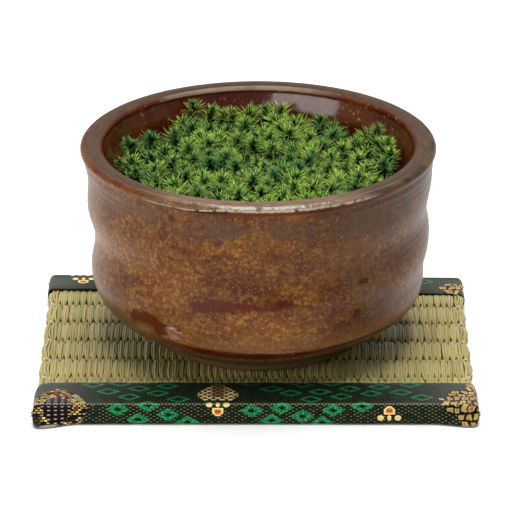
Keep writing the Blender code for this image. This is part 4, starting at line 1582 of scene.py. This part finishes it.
@dataclass(frozen=True)
class Brocade:
    """Finish of a binding: black-green ground with pale dashes, emerald diamonds and gold flowers.

    Every motif is given by its place on the flat cloth, in millimetres: u along the band from its
    middle, and v across it, from the crease toward the middle of the mat. A Fade is a pair of
    places: a mask is 0 at the first and 1 at the second. A half is half a stitch's or a motif's
    width and height, and a cell is the room that one stitch has. Medallions and cells are places
    and half sizes; a fan's third number is 1 where it opens toward +v, or else -1.

    Fields:
        thread: Width and height of the steps that the diamonds' outlines follow.
        fold_u, fold_v: Where the corner by the medallion folds out of the light.
        loop_u, loop_v: Middle and reach of the painted highlight on a folded loop by that corner.
        sheen_u, sheen_v: Where a painted sheen makes the cloth paler toward its ends.
    """

    name: str
    diamonds: tuple
    fans: tuple = ()
    medallions: tuple = ()
    cells: tuple = ()
    thread: Pair = (0.38, 0.3)
    rib_pitch: float = 0.383
    dash_pitch: float = 2.28
    dash_row: float = 0.65
    dash_half: Pair = (0.42, 0.17)
    diamond_half: Pair = (4.0, 2.5)
    heart_half: Pair = (1.6, 0.8)
    petal_cell: Pair = (2.9, 1.3)
    petal_half: Pair = (1.1, 0.46)
    fan_middle: float = 7.0
    fan_reach: float = 7.6
    fan_foot: float = 2.7
    ovals: tuple = ((0.0, (0.7, 1.0)), (2.9, (1.15, 1.0)))
    shield: tuple = (-2.8, (1.85, 1.5))
    ring_cell: Pair = (1.6, 0.74)
    ring_half: Pair = (0.62, 0.24)
    lilac_half: Pair = (0.56, 0.19)
    fold_u: Fade = (-71.0, -73.0)
    fold_v: Fade = (-1.5, -3.5)
    loop_u: Pair = (-69.5, 5.5)
    loop_v: Pair = (-6.6, 0.8)
    gold_cell: Pair = (2.6, 2.7)
    gold_half: Pair = (1.02, 1.05)
    # Where the painted sheen toward the band's ends begins and is full.
    sheen_u: Fade = (52.0, 76.0)
    sheen_v: Fade = (0.6, 4.0)
    crease: Pair = (0.35, 0.5)
    ground: Colour = tone(3, 8, 2)
    ground_rib: Colour = tone(12, 32, 15)
    dash: Colour = tone(112, 108, 64)
    leaf: Colour = tone(34, 62, 34)
    emerald: Colour = tone(2, 112, 62)
    # Tone of the painted highlight streaks on the diamonds, then the dark green of their painted shade.
    glint_green: Colour = tone(80, 200, 122)
    deep_green: Colour = tone(1, 34, 18)
    maroon: Colour = tone(18, 7, 6)
    lilac: Colour = tone(168, 152, 142)
    cream: Colour = tone(226, 210, 146)
    gold: Colour = tone(184, 156, 84)
    brown: Colour = tone(112, 62, 34)
    red: Colour = tone(176, 52, 28)
    orange: Colour = tone(206, 112, 52)
    # Tone of the painted sheen toward the band's ends.
    end_sheen_tone: Colour = tone(94, 98, 84)
    # Tone of the painted highlight on the dashes along the crease.
    stitch: Colour = tone(196, 198, 176)
    oval: Colour = tone(230, 214, 146)
    shield_rim: Colour = tone(236, 214, 138)
    cell_gold: tuple[Colour, Colour] = (tone(158, 130, 66), tone(204, 186, 122))
    cell_heart: Colour = tone(150, 56, 34)

    def make(self) -> bpy.types.Material:
        """Builds the material on the cloth's flat coordinates.

        Returns:
            The material.
        """
        p = Painter(self.name)
        place = p.vector("MULTIPLY", p.node("UVMap", {}, uv_map="cloth"), (1 / MM, 1 / MM, 0.0))
        u, v, _ = p.parts(place)
        lattice = self.lattice(p, u, v, (self.dash_pitch, self.dash_row), 0.5)
        dash = self.spindle(p, lattice, self.dash_half)
        rib = p.total(0.5, p.product(p.maths("SINE", p.product(v, FULL_TURN / self.rib_pitch)), 0.5))
        ground = p.mix(p.rise(p.noise(0.35, 3, 0.6, place), 0.35, 0.7), self.ground, self.ground_rib)
        # Painted shade: on the top face the dashes darken toward the ground, away from the crease.
        top_shaded_dash = p.mix(p.product(p.rise(v, 0.6, 3.0), 0.7), self.dash, self.leaf)
        top_shaded_dash = p.mix(p.product(p.rise(v, 0.6, 5.0), 0.55), top_shaded_dash, self.ground)
        body = p.mix(dash, ground, p.mix(p.rise(lattice[2], 0.72, 0.76), top_shaded_dash, self.leaf))
        body = self.add_diamonds(p, body, place, rib)
        # Painted sheen: the top face turns paler toward both ends of the band.
        end_sheen = p.product(p.rise(p.maths("ABSOLUTE", u), *self.sheen_u), p.rise(v, *self.sheen_v), 0.4)
        body = p.mix(end_sheen, body, self.end_sheen_tone)
        for u_place, v_place, way in self.fans:
            body = self.add_fan(p, body, (u, v), (u_place, v_place), way)
        for medallion in self.medallions:
            body = self.add_medallion(p, body, (u, v), medallion)
        for patch in self.cells:
            body = self.add_cells(p, body, (u, v), patch)
        # Painted highlight: pale dashes along the crease, where the fold catches the light.
        stitch = p.spot(p.maths("FRACT", p.maths("DIVIDE", u, 0.5 * self.dash_pitch)), 0.5, 0.45)
        crease = p.product(p.spot(v, *self.crease), stitch)
        body = p.mix(p.product(crease, 0.45), body, self.stitch)
        weave = p.total(p.product(dash, 0.7), p.product(rib, 0.3))
        return p.finish(
            base_color=body, roughness=0.42, ior=1.45, specular_ior_level=0.1, sheen_weight=0.03,
            sheen_roughness=0.35, normal=p.bump(weave, 0.12 * MM, 0.6))

    def lattice(self, p: Painter, u: Socket, v: Socket, cell: Pair,
                stagger: float) -> tuple[Socket, Socket, Socket]:
        """Splits the cloth into cells in rows, each second row moved aside by a share of a cell.

        Args:
            p: The painter.
            u: Place along the band.
            v: Place across the band.
            cell: Width and height of a cell.
            stagger: How far each second row is moved, as a share of the width.

        Returns:
            The two offsets from the middle of the cell, and the cell's own random number.
        """
        row = p.maths("FLOOR", p.maths("DIVIDE", v, cell[1]))
        shift = p.product(p.maths("MODULO", p.maths("ABSOLUTE", row), 2.0), stagger)
        column = p.maths("FLOOR", p.total(p.maths("DIVIDE", u, cell[0]), shift))
        middle_u = p.product(p.total(p.maths("SUBTRACT", column, shift), 0.5), cell[0])
        middle_v = p.product(p.total(row, 0.5), cell[1])
        number = p.node("CombineXYZ", {0: column, 1: row, 2: 0.0})
        chance = p.node("TexWhiteNoise", {"Vector": number}, "Value")
        return p.maths("SUBTRACT", u, middle_u), p.maths("SUBTRACT", v, middle_v), chance

    def spindle(self, p: Painter, lattice: tuple[Socket, Socket, Socket],
                half: Pair) -> Socket:
        """Gives the mask of one lens-shaped stitch in each cell."""
        place = p.node("CombineXYZ", {
            0: p.product(lattice[0], 1.0 / half[0]), 1: p.product(lattice[1], 1.0 / half[1]), 2: 0.0})
        return p.rise(p.vector("LENGTH", place, output="Value"), 1.2, 0.75)

    def box_reach(self, p: Painter, here: Place, middle: Pair, half: Pair) -> tuple[Socket, Socket]:
        """Gives the two distances from a middle, each as a share of its half size."""
        return tuple(
            p.product(p.maths("ABSOLUTE", p.maths("SUBTRACT", value, mid)), 1.0 / size)
            for value, mid, size in zip(here, middle, half))

    def add_diamonds(self, p: Painter, body: Socket, place: Socket, rib: Socket) -> Socket:
        """Adds the diamonds: |du|/a + |dv|/b, snapped to the threads, is 1 on their outline.

        Args:
            p: The painter.
            body: The colour so far.
            place: The place on the flat cloth.
            rib: The mask of the cloth's ribs.

        Returns:
            The colour with the diamonds.
        """
        thread = p.vector("SNAP", place, (*self.thread, 1.0))
        thread = p.vector("ADD", thread, (0.5 * self.thread[0], 0.5 * self.thread[1], 0.0))
        away = [p.vector("ABSOLUTE", p.vector("SUBTRACT", thread, (u, v, 0.0))) for u, v in self.diamonds]
        least, inner = (
            reduce(partial(p.maths, "MINIMUM"), [
                p.vector("DOT_PRODUCT", distance, (1.0 / half[0], 1.0 / half[1], 0.0), output="Value")
                for distance in away])
            for half in (self.diamond_half, self.heart_half))
        _, v, _ = p.parts(place)
        # Painted highlights: pale green streaks over the emerald; painted shade: darker green along the
        # ribs.
        streaks = p.noise(1.0, 2, 0.6, p.vector("MULTIPLY", place, (1.1, 3.4, 0.0)))
        lights = p.product(p.rise(streaks, 0.5, 0.66), 0.9)
        shaded = p.mix(p.product(rib, 0.5), self.emerald, self.deep_green)
        green = p.mix(lights, shaded, self.glint_green)
        # Painted shade: on the top face the diamonds darken to a dim fill with brighter outlines.
        lines = p.product(p.spot(least, 0.88, 0.24), p.rise(streaks, 0.2, 0.55))
        top_face_shade = p.mix(0.6, self.ground, self.deep_green)
        top_face_shade = p.mix(lines, top_face_shade, p.mix(lights, self.emerald, self.glint_green))
        green = p.mix(p.product(p.rise(v, 0.8, 2.4), 0.94), green, top_face_shade)
        green = p.mix(p.maths("LESS_THAN", inner, 1.0), green, self.ground)
        green = p.mix(p.maths("LESS_THAN", inner, 0.5), green, self.maroon)
        return p.mix(p.maths("LESS_THAN", least, 1.0), body, green)

    def add_fan(self, p: Painter, body: Socket, here: Place, middle: Pair,
                way: float) -> Socket:
        """Adds a fan flower: rows of wide stitches, three ovals at its foot, and a shield.

        With a = |du| and b = dv toward the fan, the fan is where a + 0.7 |b - its middle| stays
        under its reach and b is over its foot.

        Args:
            p: The painter.
            body: The colour so far.
            here: The place on the flat cloth.
            middle: The place of the middle oval.
            way: 1 where the fan opens toward +v, or -1.

        Returns:
            The colour with the flower.
        """
        aside = p.maths("SUBTRACT", here[0], middle[0])
        across = p.maths("ABSOLUTE", aside)
        up = p.product(p.maths("SUBTRACT", here[1], middle[1]), way)
        from_middle = p.maths("ABSOLUTE", p.maths("SUBTRACT", up, self.fan_middle))
        spread = p.total(across, p.product(from_middle, 0.7))
        over_foot = p.maths("GREATER_THAN", up, self.fan_foot)
        fan = p.product(p.maths("LESS_THAN", spread, self.fan_reach), over_foot)
        lattice = self.lattice(p, aside, up, self.petal_cell, 0.5)
        petal = p.product(fan, self.spindle(p, lattice, self.petal_half))
        heart = p.product(p.rise(across, 2.6, 1.4), p.maths("GREATER_THAN", up, 5.0))
        warm = p.mix(p.product(heart, 0.8), p.mix(lattice[2], self.cream, self.gold), self.brown)
        body = p.mix(petal, p.mix(p.product(fan, 0.9), body, self.ground), warm)
        for distance, half in self.ovals:
            reach = self.box_reach(p, (across, up), (distance, 0.0), half)
            oval = p.rise(p.total(p.product(reach[0], reach[0]), p.product(reach[1], reach[1])), 1.15, 0.75)
            body = p.mix(oval, body, p.mix(p.product(p.spot(up, 0.2, 0.45), 0.55), self.oval, self.orange))
        height, half = self.shield
        reach = p.maths("MAXIMUM", *self.box_reach(p, (across, up), (0.0, height), half))
        below = p.maths("MAXIMUM", p.product(p.total(up, 3.2), -1.0), 0.0)
        point = p.total(across, p.product(below, 1.1))
        shield = p.product(p.maths("LESS_THAN", reach, 1.0), p.maths("LESS_THAN", point, half[0]))
        inside = p.product(p.rise(reach, 0.9, 0.4), p.rise(point, 1.6, 0.9))
        core = p.mix(p.spot(up, -2.6, 0.8), self.orange, self.red)
        return p.mix(shield, body, p.mix(inside, self.shield_rim, core))

    def add_medallion(self, p: Painter, body: Socket, here: Place,
                      medallion: tuple[float, float, float, float]) -> Socket:
        """Adds a medallion: maroon with rows of lilac dashes, in a broad ring of gold stitches.

        Its outline is a mean of a circle and a diamond. The corner beside it is folded out of the
        light, as painted shade, with the painted highlight of a folded loop under it.

        Args:
            p: The painter.
            body: The colour so far.
            here: The place on the flat cloth.
            medallion: Its middle and its half sizes.

        Returns:
            The colour with the medallion.
        """
        reach = self.box_reach(p, here, medallion[:2], medallion[2:])
        circle = p.vector("LENGTH", p.node("CombineXYZ", {0: reach[0], 1: reach[1], 2: 0.0}), output="Value")
        away = p.total(p.product(circle, 0.6), p.product(p.total(*reach), 0.34))
        inside = p.maths("LESS_THAN", away, 0.98)
        ring = p.product(inside, p.maths("GREATER_THAN", away, 0.5))
        lattice = self.lattice(p, *here, self.ring_cell, 0.5)
        aligned = self.lattice(p, *here, (self.dash_pitch, 2.0 * self.dash_row), 0.0)
        body = p.mix(inside, body, self.maroon)
        body = p.mix(p.product(inside, self.spindle(p, aligned, self.lilac_half)), body, self.lilac)
        warm = p.mix(p.rise(lattice[2], 0.5, 0.55), self.gold, self.cream)
        warm = p.mix(p.rise(lattice[2], 0.84, 0.86), warm, self.orange)
        warm = p.mix(p.rise(lattice[2], 0.9, 0.92), warm, self.red)
        stitches = p.product(self.spindle(p, lattice, self.ring_half), p.rise(lattice[2], 0.2, 0.24))
        body = p.mix(ring, body, p.mix(stitches, self.ground, warm))
        # Painted shade on the folded corner, and a painted highlight on the loop under it.
        folded = p.product(p.rise(here[0], *self.fold_u), p.rise(here[1], *self.fold_v), 0.9)
        body = p.mix(folded, body, self.ground)
        loop = p.product(p.spot(here[1], *self.loop_v), p.spot(here[0], *self.loop_u))
        return p.mix(p.product(p.rise(loop, 0.15, 0.6), 0.8), body, self.lilac)

    def add_cells(self, p: Painter, body: Socket, here: Place,
                  patch: tuple[float, float, float, float]) -> Socket:
        """Adds a diamond-shaped patch of rounded gold cells, bent by a noise, some with a red heart.

        Args:
            p: The painter.
            body: The colour so far.
            here: The place on the flat cloth.
            patch: Its middle and its half sizes.

        Returns:
            The colour with the patch.
        """
        flat = p.node("CombineXYZ", {0: here[0], 1: here[1], 2: 0.0})
        bent = p.node("TexNoise", {"Vector": flat, "Scale": 0.22}, "Color")
        bent = p.vector("MULTIPLY", p.vector("SUBTRACT", bent, (0.5, 0.5, 0.5)), (5.0, 5.0, 0.0))
        here = p.parts(p.vector("ADD", flat, bent))[:2]
        across, up, chance = self.lattice(p, *here, self.gold_cell, 0.5)
        middle = tuple(p.maths("SUBTRACT", value, off) for value, off in zip(here, (across, up)))
        inside = p.maths("LESS_THAN", p.total(*self.box_reach(p, middle, patch[:2], patch[2:])), 1.0)
        square = p.maths("MAXIMUM", *self.box_reach(p, (across, up), (0.0, 0.0), self.gold_half))
        heart = p.product(p.rise(square, 0.8, 0.2), p.rise(chance, 0.4, 0.5), 0.85)
        gold = p.mix(heart, p.mix(chance, *self.cell_gold), self.cell_heart)
        gold = p.mix(p.product(p.rise(p.noise(2.5, 1, 0.5, flat), 0.55, 0.65), 0.5), gold, self.brown)
        body = p.mix(p.product(inside, 0.9), body, self.ground)
        return p.mix(p.product(inside, p.rise(square, 1.0, 0.8)), body, gold)


@dataclass
class Binding:
    """Strip of brocade folded round a long edge of the mat and closed at both ends.

    Sizes are in millimetres. The width is on top of the mat, and the taper is how much wider the
    strip is at its right end. Its inner edge lifts off the rush in places and sinks elsewhere.
    Flare and corner_reach are for the left and for the right end.
    """

    shape: MatShape
    side: Side
    width: float
    taper: float
    finish: Brocade
    thickness: float = 0.45
    fold: float = 0.8
    end_round: float = 2.3
    flare: Pair = (3.4, 2.4)
    flare_length: float = 14.0
    crown: float = 0.15
    lift: float = 0.2
    sink: float = 0.25
    corner_reach: Pair = (5.5, 3.2)
    corner_cut: float = 8.5

    def section(self) -> tuple[Array, Array, Array]:
        """Gives the cloth's way across: top, crease, outer face, bottom fold and underlap.

        Returns:
            Distance inward from the edge, height, and distance along the cloth from the crease.
        """
        high = self.shape.height
        arc = np.linspace(0.0, 0.5 * math.pi, 7)
        top_q = np.linspace(self.width, self.fold, 26)
        face_z = np.linspace(high - self.fold, self.fold, 14)[1:-1]
        under_q = np.linspace(self.fold, self.shape.underlap, 10)[1:]
        q = np.concatenate([
            top_q, self.fold - self.fold * np.sin(arc[1:]), np.zeros(len(face_z)),
            self.fold - self.fold * np.cos(arc), under_q])
        z = np.concatenate([
            np.full(len(top_q), high), high - self.fold + self.fold * np.cos(arc[1:]), face_z,
            self.fold - self.fold * np.sin(arc), np.zeros(len(under_q))])
        path = np.concatenate([[0.0], np.cumsum(np.hypot(np.diff(q), np.diff(z)))])
        crease = len(top_q) + 2
        return q, z, path[crease] - path

    def stations(self) -> tuple[Array, Array, Array]:
        """Gives the sections' places along the strip, rounded as a quarter circle at both ends.

        Returns:
            Distance from the middle of the mat, how far the section is drawn in, and how far its
            two halves have run together, from 0 to 1.
        """
        half = 0.5 * self.shape.length
        flat = half - self.end_round
        straight = np.linspace(0.0, 1.0, 140) * 2.0 - 1.0
        bend = np.linspace(0.0, 0.5 * math.pi, 8)[1:]
        close = np.linspace(0.0, 0.94, 8)[1:]
        x = np.concatenate([
            np.full(len(close), -half), -flat - self.end_round * np.sin(bend[::-1]), flat * straight,
            flat + self.end_round * np.sin(bend), np.full(len(close), half)])
        inset = np.concatenate([
            np.full(len(close), self.end_round), self.end_round * (1.0 - np.cos(bend[::-1])),
            np.zeros(len(straight)), self.end_round * (1.0 - np.cos(bend)),
            np.full(len(close), self.end_round)])
        shut = np.concatenate([close[::-1], np.zeros(len(bend) * 2 + len(straight)), close])
        return x[:, None], inset[:, None], shut[:, None]

    def outer(self) -> tuple[Array, Array]:
        """Lofts the section along the mat, rounds it in at both ends and closes the ends.

        Near an end the section shrinks as a quarter circle, and the front strip's inner corners are
        cut as a quarter ellipse. The lower edge flares outward at the corners. The top swells by a
        sine of the width, and its inner edge lifts by a product of two waves along the strip.

        Returns:
            The grid of points in metres and the grid of places on the flat cloth.
        """
        q, z, v = self.section()
        x, inset, shut = self.stations()
        half = 0.5 * self.shape.length
        flat = half - self.end_round
        high = self.shape.height
        middle = 0.5 * high
        z_in = middle + (z[None, :] - middle) * (1.0 - inset / middle)
        z_in = middle + (z_in - middle) * (1.0 - shut)
        q_in = q[None, :] * (1.0 - inset / self.width) + inset
        if self.side is Side.FRONT:
            reach = np.where(x < 0.0, *self.corner_reach)
            share = np.clip((np.abs(x) - half + reach) / reach, 0.0, 1.0)
            q_in = q_in * (1.0 - self.corner_cut * (1.0 - np.sqrt(1.0 - share**2)) / self.width)
        end = smooth_step(np.abs(x), flat - self.flare_length, flat)
        flare = np.where(x < 0.0, *self.flare) * end * smooth_step(-z_in, -high + 1.0, 0.0)
        q_in = q_in - flare * smooth_step(-q_in, -6.0, 0.0)
        is_top = smooth_step(z_in, high - 1.5, high)
        swell = np.sin(math.pi * np.clip(q_in / self.width, 0.0, 1.0)) * (1.0 - end)
        z_in = z_in + self.crown * is_top * swell
        wave = 0.5 + 0.5 * np.sin(0.31 * x + 1.0) * np.cos(0.083 * x)
        near_edge = smooth_step(q_in, self.width - 2.5, self.width) * is_top
        z_in = z_in + near_edge * (self.lift * wave - self.sink)
        path = np.concatenate([[0.0], np.cumsum(np.hypot(np.diff(x[:, 0]), middle * np.diff(shut[:, 0])))])
        u = path - 0.5 * path[-1]
        behind = q_in
        if self.side is Side.BACK:
            widened = self.taper * (x / half) * smooth_step(q_in, self.width - 8.0, self.width)
            behind = self.shape.depth - q_in - widened
        points = self.shape.place(x, behind, z_in)
        uv = np.stack(np.broadcast_arrays(u[:, None], v[None, :]), axis=-1)
        return points * MM, uv * MM

    def build(self) -> None:
        """The inner face lies one thickness behind the outer one, along its normals. They are turned
        to point away from the mat, which the middle of the outer face tells.
        """
        outer, uv = self.outer()
        normal = np.cross(np.gradient(outer, axis=0), np.gradient(outer, axis=1))
        normal /= np.maximum(np.linalg.norm(normal, axis=2, keepdims=True), 1e-12)
        face_column = 33
        on_face = (len(outer) // 2, face_column)
        if normal[on_face][1] * outer[on_face][1] < 0.0:
            normal = -normal
        name = f"brocade_{self.side.value}"
        piece = thick_sheet(outer, outer - self.thickness * MM * normal, uv).make(name)
        dress(piece, self.finish.make(), (f"binding_{self.side.value}",))


@dataclass(frozen=True)
class BoardPaper:
    """Finish of the stiff board in the mat, between a dark and a light fibre."""

    dark: Colour = tone(150, 128, 96)
    light: Colour = tone(190, 170, 134)

    def make(self) -> bpy.types.Material:
        """Builds the material: grey-brown fibres by a noise drawn out in depth, which also stands up.

        Returns:
            The material.
        """
        p = Painter("board_paper")
        fibres = p.noise(600, 4, 0.7, p.stretched((1, 0.3, 1)))
        return p.finish(
            base_color=p.mix(fibres, self.dark, self.light), roughness=0.9, normal=p.bump(fibres, 0.2 * MM))


@dataclass(frozen=True)
class BackingCloth:
    """Finish of the dark cloth under the mat, with its threads' pitch in millimetres."""

    dark: Colour = tone(34, 34, 30)
    light: Colour = tone(62, 60, 52)
    pitch: float = 0.7

    def make(self) -> bpy.types.Material:
        """Builds the material: the product of two crossed sines, one for each thread.

        Returns:
            The material.
        """
        p = Painter("backing_cloth")
        x, y, _ = p.parts(p.place)
        warp, weft = (p.maths("SINE", p.product(value, FULL_TURN / (self.pitch * MM))) for value in (x, y))
        cross = p.total(0.5, p.product(warp, weft, 0.5))
        body = p.mix(cross, self.dark, self.light)
        return p.finish(base_color=body, roughness=0.85, normal=p.bump(cross, 0.2 * MM))


@dataclass
class Mat:
    """Small rush mat: board, backing, woven cover and two brocade bindings."""

    shape: MatShape = field(default_factory=MatShape)
    front: Brocade = Brocade(
        "brocade_front",
        diamonds=(
            (-46.4, -1.6), (-39.6, -5.4), (-36.2, -0.1), (-29.5, -3.6), (-23.0, -6.4), (-1.4, -2.1),
            (5.2, -5.7), (8.7, -1.0), (15.6, -4.2), (22.2, -6.6), (25.9, -1.9), (35.7, -0.4),
            (-55.2, 15.4), (-45.9, 16.4), (-49.8, 9.8), (-39.6, 12.1), (-42.7, 5.6), (-33.1, 8.4),
            (-30.0, 14.2), (-26.1, 3.8), (-1.9, 16.4), (5.2, 11.9), (11.8, 8.6), (18.5, 3.8),
            (15.8, 15.4), (21.7, 9.6), (28.8, 5.9), (31.8, 12.0), (38.9, 8.2), (41.9, 13.8),
            (25.7, 16.8), (49.0, 9.3), (55.9, 5.2), (52.2, 15.6)),
        fans=((-12.8, 0.2, 1.0), (44.8, -4.8, -1.0)),
        medallions=((-66.8, -0.8, 10.0, 12.2),),
        cells=((73.5, 3.0, 12.5, 14.0),))
    back: Brocade = Brocade(
        "brocade_back",
        diamonds=(
            (-48.0, 8.0), (-54.0, 3.0), (46.0, 4.0), (54.0, 8.5), (60.5, 4.5), (10.0, 6.0), (0.0, 10.0)),
        fans=((-62.4, 4.2, -1.0),),
        cells=((71.0, 9.0, 6.5, 5.5),))

    def build(self) -> None:
        """Makes the mat's soft pieces, and gives the carried-over nodes their finish."""
        for node, material in (("mat_board", BoardPaper().make()), ("backing_sheet", BackingCloth().make())):
            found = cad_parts[node]
            found.data.materials.clear()
            found.data.materials.append(material)
        shape = self.shape
        RushFacing(shape).build()
        Binding(shape, Side.FRONT, shape.front_width, 0.0, self.front).build()
        Binding(shape, Side.BACK, shape.back_width, shape.back_taper, self.back).build()


@dataclass
class Studio:
    """Floor, soft lights and the camera at the photograph's angle.

    Places are in metres, lens and sensor in millimetres. The pitch is how far the camera looks
    down, in radians. A box has a name, a place, a width and height, and its power in watts.
    """

    distance: float = 1.25385
    pitch: float = 0.4024084
    aim: tuple[float, float, float] = (-0.001098, 0.0, 0.03503)
    lens: float = 253.62
    sensor: float = 36.0
    surround: float = 0.17
    lit: tuple[float, float, float] = (0.0, 0.0, 0.04)
    boxes: tuple = (
        ("box_above", (0.03, 0.0, 1.0), (0.9, 0.5), 15.0),
        ("box_front_left", (-0.78, -1.0, 0.4), (1.2, 0.8), 9.0),
        ("card_behind", (0.0, 1.2, 0.5), (2.8, 1.1), 11.0))
    floor_reach: float = 4.0
    floor_top: float = -0.0003
    floor_thickness: float = 0.02
    paper: tuple[Colour, Colour] = (tone(243, 243, 242), tone(247, 247, 246))

    def add_camera(self) -> None:
        """Places the camera on the line from the aim point, back and up by the pitch."""
        data = bpy.data.cameras.new("camera")
        data.lens = self.lens
        data.sensor_width = self.sensor
        data.clip_start = 0.05
        data.clip_end = 20.0
        camera = bpy.data.objects.new("camera", data)
        back = Vector((0.0, -math.cos(self.pitch), math.sin(self.pitch)))
        camera.location = Vector(self.aim) + self.distance * back
        camera.rotation_euler = (0.5 * math.pi - self.pitch, 0.0, 0.0)
        bpy.context.scene.collection.objects.link(camera)
        bpy.context.scene.camera = camera

    def add_light(self, name: str, place: tuple[float, float, float], size: Pair,
                  power: float) -> None:
        """Adds a soft box that faces the bowl.

        Args:
            name: Its name.
            place: Where it hangs, in metres.
            size: Its width and height in metres.
            power: Its power in watts.
        """
        data = bpy.data.lights.new(name, "AREA")
        data.shape = "RECTANGLE"
        data.size, data.size_y = size
        data.energy = power
        light = bpy.data.objects.new(name, data)
        light.location = place
        light.rotation_euler = (Vector(self.lit) - Vector(place)).to_track_quat("-Z", "Y").to_euler()
        bpy.context.scene.collection.objects.link(light)

    def add_floor(self) -> None:
        """Lays a wide pale floor just under the mat."""
        half = self.floor_reach
        grid = np.array([[(-half, -half), (half, -half)], [(-half, half), (half, half)]])
        top = np.concatenate([grid, np.full((2, 2, 1), self.floor_top)], axis=2)
        bottom = top - np.array((0.0, 0.0, self.floor_thickness))
        floor = thick_sheet(top, bottom, grid).make("floor")
        p = Painter("floor_paper")
        floor.data.materials.append(p.finish(base_color=p.mix(p.noise(8, 2), *self.paper), roughness=0.9))

    def build(self) -> None:
        """Sets up the floor, the surroundings, the soft boxes, the camera and the view."""
        world = bpy.data.worlds.new("studio")
        world.use_nodes = True
        world.node_tree.nodes["Background"].inputs["Color"].default_value = (1.0, 1.0, 1.0, 1.0)
        world.node_tree.nodes["Background"].inputs["Strength"].default_value = self.surround
        bpy.context.scene.world = world
        self.add_floor()
        for box in self.boxes:
            self.add_light(*box)
        bpy.context.scene.view_settings.view_transform = "Standard"
        bpy.context.scene.view_settings.look = "None"
        self.add_camera()


def corners(found: tuple[Vector, Vector]) -> list[list[float]]:
    """Gives a box's two corners as plain lists."""
    return [list(corner) for corner in found]


def main() -> None:
    """Builds the studio and every piece in order."""
    logging.basicConfig(level=logging.INFO, format="%(name)s %(message)s")
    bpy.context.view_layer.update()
    Studio().build()
    Mat().build()
    Bowl().build()
    MossClump().build()


if __name__ == "__main__":
    main()
